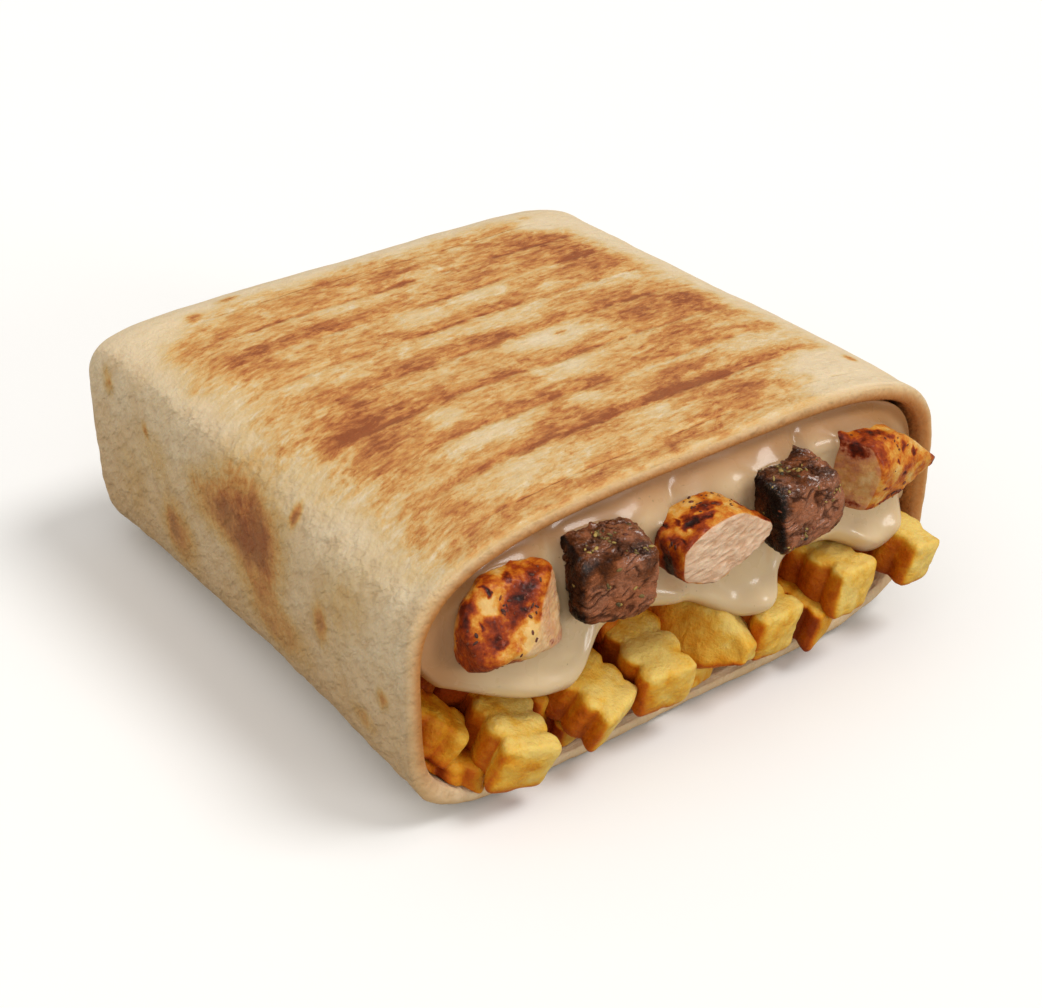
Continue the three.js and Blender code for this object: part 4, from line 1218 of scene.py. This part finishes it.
def chicken_material():
    """Grilled chicken: amber skin, red-brown to black char, and a pale fibrous cut face."""
    paint = Paint("grilled_chicken", roughness=0.4, specular_ior_level=0.12, subsurface_weight=0.15,
                  subsurface_radius=(0.004, 0.0016, 0.0008), coat_weight=0.12,
                  coat_roughness=0.2)
    cloud = paint.noise(1.7, 6.0, 0.68, warp=0.3)
    grain = paint.noise(0.55, 4.0, 0.65)
    char = paint.attribute("char") + (cloud - 0.5) * 0.8 + (grain - 0.5) * 0.4
    skin = paint.ramp(char, (0.0, srgb(222, 182, 114)), (0.2, srgb(212, 150, 60)),
                      (0.38, srgb(192, 104, 22)), (0.56, srgb(152, 58, 12)), (0.78, srgb(98, 30, 10)),
                      (1.0, srgb(38, 12, 6)))
    streak = paint.attribute("streak") + (grain - 0.5) * 0.5
    flesh = paint.mix(paint.step(streak, 0.0, 1.0), srgb(198, 154, 120), srgb(224, 196, 168))
    cut = paint.attribute("cut") * (1.0 - paint.step(char, 0.45, 0.7))
    both = paint.mix(cut, skin, flesh)
    normal = paint.bump(paint.noise(0.9, 4.0, 0.6) + grain * 0.4, 0.3, 0.7)
    rough = 0.28 + grain * 0.34
    return paint.finish(base_color=both, roughness=rough, normal=normal)


def beef_material():
    """Grilled beef: purple-brown to nearly black where it is seared and on its left faces, which carry
    painted shade, with painted shade in the cracks between its fibres, and small pale specks of painted
    sheen and a wet coat where it is glossy."""
    paint = Paint("grilled_beef", roughness=0.38, specular_ior_level=0.1, subsurface_weight=0.06,
                  subsurface_radius=(0.002, 0.0008, 0.0005), coat_roughness=0.22)
    cloud = paint.noise(1.8, 6.0, 0.68, warp=0.3)
    grain = paint.noise(0.5, 4.0, 0.65)
    sear = paint.attribute("sear") + (cloud - 0.5) * 0.7 + (grain - 0.5) * 0.4
    meat = paint.ramp(sear, (0.0, srgb(176, 108, 72)), (0.24, srgb(142, 80, 44)),
                      (0.48, srgb(96, 49, 20)), (0.76, srgb(52, 25, 10)), (1.0, srgb(22, 11, 5)))
    crack = paint.step(paint.attribute("crack"), 0.1, 0.9)
    # Painted shade in the cracks between the fibres
    crack_shaded = paint.mix(crack * 0.7, meat, srgb(44, 18, 10))
    # Painted sheen: pale specks where the beef is glossy
    painted_sheen = paint.step(paint.noise(0.42, 3.0, 0.6), 0.52, 0.68) * paint.attribute("gloss")
    with_painted_sheen = paint.mix(painted_sheen * 0.55, crack_shaded, srgb(190, 142, 118))
    fibre = paint.noise(0.8, 4.0, 0.65, (1.0, 1.0, 2.6), (0.5, 0.35, 0.0))
    normal = paint.bump(fibre + grain * 0.9, 0.85, 1.0)
    rough = 0.14 + grain * 0.36
    shine = paint.attribute("gloss") * (1.0 - crack * 0.8)
    return paint.finish(base_color=with_painted_sheen, roughness=rough, coat_weight=shine, normal=normal)


def fleck_material(name, light, dark):
    """Dried herbs or pepper, each fleck between two colours by its own shade."""
    paint = Paint(name, roughness=0.5, specular_ior_level=0.4)
    tone = paint.mix(paint.attribute("shade"), light, dark)
    grain = paint.noise(0.3, 2.0, 0.5)
    return paint.finish(base_color=tone, normal=paint.bump(grain, 0.1, 0.6))


def floor_material():
    """The plain pale floor. What it throws back at the food is warmer and weaker than it looks."""
    paint = Paint("pale_floor", roughness=0.9, specular_ior_level=0.1)
    cloud = paint.noise(90.0, 2.0, 0.5)
    shown = paint.mix(cloud, (0.97, 0.975, 0.98), (0.985, 0.99, 0.995))
    direct = paint.node("ShaderNodeLightPath", out="Is Camera Ray")
    return paint.finish(base_color=paint.mix(direct, (0.46, 0.43, 0.375), shown))


class TacoColours(bpy.types.PropertyGroup):
    """Colours that a user would change."""

    bread: FloatVectorProperty(name="Bread", description="Untoasted tortilla", subtype="COLOR",
                               size=3, min=0.0, max=1.0, default=srgb(230, 209, 174))


class TacoLight(bpy.types.PropertyGroup):
    """Light of the stage."""

    key_strength: FloatProperty(name="Key light", default=1.38,
                                description="Strength of the large soft key light")
    fill_strength: FloatProperty(name="Fill light", default=0.9,
                                 description="Strength of the wide light from the left")
    glint_strength: FloatProperty(name="Glint", default=0.7,
                                  description="Strength of the small light low in front")
    world: FloatProperty(name="Surroundings", default=0.42,
                         description="Strength of the white surroundings")


class TACO_OT_tortilla(bpy.types.Operator):
    """Makes the tortilla"""

    bl_idname = "taco.tortilla"
    bl_label = "Tortilla"

    def execute(self, context):
        material = bread_material(context.scene.taco_colours)
        add_piece("tortilla_wrap", tortilla_shape(), material, "tortilla")
        return {"FINISHED"}


class TACO_OT_sauce(bpy.types.Operator):
    """Makes the cheese sauce"""

    bl_idname = "taco.sauce"
    bl_label = "Cheese sauce"

    def execute(self, context):
        add_piece("cheese_sauce", sauce_shape(), sauce_material(), "sauce")
        return {"FINISHED"}


class TACO_OT_fries(bpy.types.Operator):
    """Makes the heap of fries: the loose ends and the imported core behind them"""

    bl_idname = "taco.fries"
    bl_label = "Fries"

    def execute(self, context):
        material = fries_material()
        add_piece("crinkle_fries", heap_fries(), material, "fries")
        add_piece("fries_core", core_shape(), material, None)
        return {"FINISHED"}


class TACO_OT_meat(bpy.types.Operator):
    """Makes the grilled chicken and beef, with their herbs and pepper"""

    bl_idname = "taco.meat"
    bl_label = "Grilled meat"

    def execute(self, context):
        chicken, beef = chicken_material(), beef_material()
        surfaces = {}
        for seed, node in enumerate(MEAT):
            kind = node.split("_")[0]
            make, material = (beef_shape, beef) if kind == "beef" else (chicken_shape, chicken)
            shape = make(node, 100 + 20 * seed)
            add_piece(node + "_piece", shape, material, node)
            surfaces[node] = (*shape[:2], shape[3].get("cut", 0.0))
        pepper = fleck_material("cracked_pepper", srgb(128, 60, 30), srgb(56, 24, 16))
        herbs = fleck_material("dried_herbs", srgb(176, 148, 78), srgb(44, 34, 16))
        spots, leaves = [], []
        for node, (points, quads, bare) in surfaces.items():
            spots.append((points, quads, PEPPER_COUNTS[node.split("_")[0]], bare, None))
            if node in HERBS:
                middles = np.array(HERBS[node]) + MEAT[node][0]
                leaves.append((points, quads, HERB_COUNT, bare, middles))
        add_piece("pepper_flecks", scatter(spots, 3, (0.18, 0.56), 0.12, 1.5), pepper, None)
        add_piece("herb_flecks", scatter(leaves, 4, (0.2, 0.56), 0.16, 0.9), herbs, None)
        return {"FINISHED"}


class TACO_OT_stage(bpy.types.Operator):
    """Makes the floor, the studio light and the camera"""

    bl_idname = "taco.stage"
    bl_label = "Stage"

    def execute(self, context):
        scene = context.scene
        light = scene.taco_light
        mesh = bpy.data.meshes.new("floor")
        corners = [(-1, -1), (1, -1), (1, 1), (-1, 1)]
        corners = [(x * FLOOR_REACH, y * FLOOR_REACH, -FLOOR_DROP) for x, y in corners]
        mesh.from_pydata(corners, [], [(0, 1, 2, 3)])
        mesh.materials.append(floor_material())
        floor = bpy.data.objects.new("floor", mesh)
        scene.collection.objects.link(floor)
        floor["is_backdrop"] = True
        scene.world = surroundings(light.world)
        scene.view_settings.view_transform = "Standard"
        for name, towards, spread, tint in SUNS:
            add_sun(name, towards, spread, getattr(light, name + "_strength"), tint)
        add_camera(scene)
        return {"FINISHED"}


def surroundings(strength):
    """White surroundings: the camera sees a plain backdrop, and the food is lit by warmer light of
    its own strength."""
    world = bpy.data.worlds.new("surroundings")
    world.use_nodes = True
    tree = world.node_tree
    background = tree.nodes["Background"]
    background.inputs["Color"].default_value = (*WORLD_TINT, 1.0)
    background.inputs["Strength"].default_value = strength
    backdrop = tree.nodes.new("ShaderNodeBackground")
    backdrop.inputs["Color"].default_value = (*BACKDROP_COLOUR, 1.0)
    rays = tree.nodes.new("ShaderNodeLightPath")
    either = tree.nodes.new("ShaderNodeMixShader")
    tree.links.new(rays.outputs["Is Camera Ray"], either.inputs["Fac"])
    tree.links.new(background.outputs["Background"], either.inputs[1])
    tree.links.new(backdrop.outputs["Background"], either.inputs[2])
    tree.links.new(either.outputs["Shader"], tree.nodes["World Output"].inputs["Surface"])
    return world


def add_sun(name, towards, spread, strength, tint):
    """A sun lamp that shines from a direction, with soft shadows by its spread in degrees."""
    data = bpy.data.lights.new(name, "SUN")
    data.angle = math.radians(spread)
    data.energy = strength
    data.color = tint
    lamp = bpy.data.objects.new(name, data)
    back = unit(np.array(towards))
    side = unit(np.cross((0.0, 0.0, 1.0), back))
    lamp.matrix_world = facing_matrix(side, np.cross(back, side), back, back)
    bpy.context.scene.collection.objects.link(lamp)


def facing_matrix(right, up, back, place):
    """A matrix whose columns are an object's right, up and back directions and its place."""
    columns = np.stack([right, up, back, place], -1)
    return Matrix([*map(list, columns), (0.0, 0.0, 0.0, 1.0)])


def add_camera(scene):
    """The photograph's camera: turned about the vertical, tilted down, with its focal length worked
    out from pixels."""
    back = direction(CAMERA_TURN, CAMERA_TILT)
    right = unit(np.cross((0.0, 0.0, 1.0), back))
    up = np.cross(right, -back)
    data = bpy.data.cameras.new("photo_camera")
    data.sensor_fit = "HORIZONTAL"
    data.sensor_width = SENSOR
    data.lens = FOCAL_PIXELS * SENSOR / PHOTO_WIDTH
    data.clip_start = 0.01
    camera = bpy.data.objects.new("photo_camera", data)
    camera.matrix_world = facing_matrix(right, up, back, np.array(CAMERA_PLACE) * MM)
    scene.collection.objects.link(camera)
    scene.camera = camera


class TACO_PT_panel(bpy.types.Panel):
    """Lists the pieces, the colours and the light"""

    bl_idname = "TACO_PT_panel"
    bl_label = "French taco"
    bl_space_type = "VIEW_3D"
    bl_region_type = "UI"
    bl_category = "Taco"

    def draw(self, context):
        column = self.layout.column(align=True)
        for name in ("tortilla", "sauce", "fries", "meat", "stage"):
            column.operator("taco." + name)
        for group in (context.scene.taco_colours, context.scene.taco_light):
            column = self.layout.column(align=True)
            for key in group.__annotations__:
                column.prop(group, key)


CLASSES = (TacoColours, TacoLight, TACO_OT_tortilla, TACO_OT_sauce, TACO_OT_fries, TACO_OT_meat,
           TACO_OT_stage, TACO_PT_panel)


def register():
    """Registers the classes and hangs the settings on the scene."""
    for item in CLASSES:
        bpy.utils.register_class(item)
    bpy.types.Scene.taco_colours = PointerProperty(type=TacoColours)
    bpy.types.Scene.taco_light = PointerProperty(type=TacoLight)


def unregister():
    """Takes the settings and the classes away again."""
    del bpy.types.Scene.taco_light
    del bpy.types.Scene.taco_colours
    for item in reversed(CLASSES):
        bpy.utils.unregister_class(item)


def main():
    """Makes every piece."""
    register()
    bpy.ops.taco.tortilla()
    bpy.ops.taco.sauce()
    bpy.ops.taco.fries()
    bpy.ops.taco.meat()
    bpy.ops.taco.stage()
    boxes = {"cad": CAD_BOX, "visual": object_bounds()}
    boxes = {name: [[float(c) for c in corner] for corner in box] for name, box in boxes.items()}


if __name__ == "__main__":
    main()
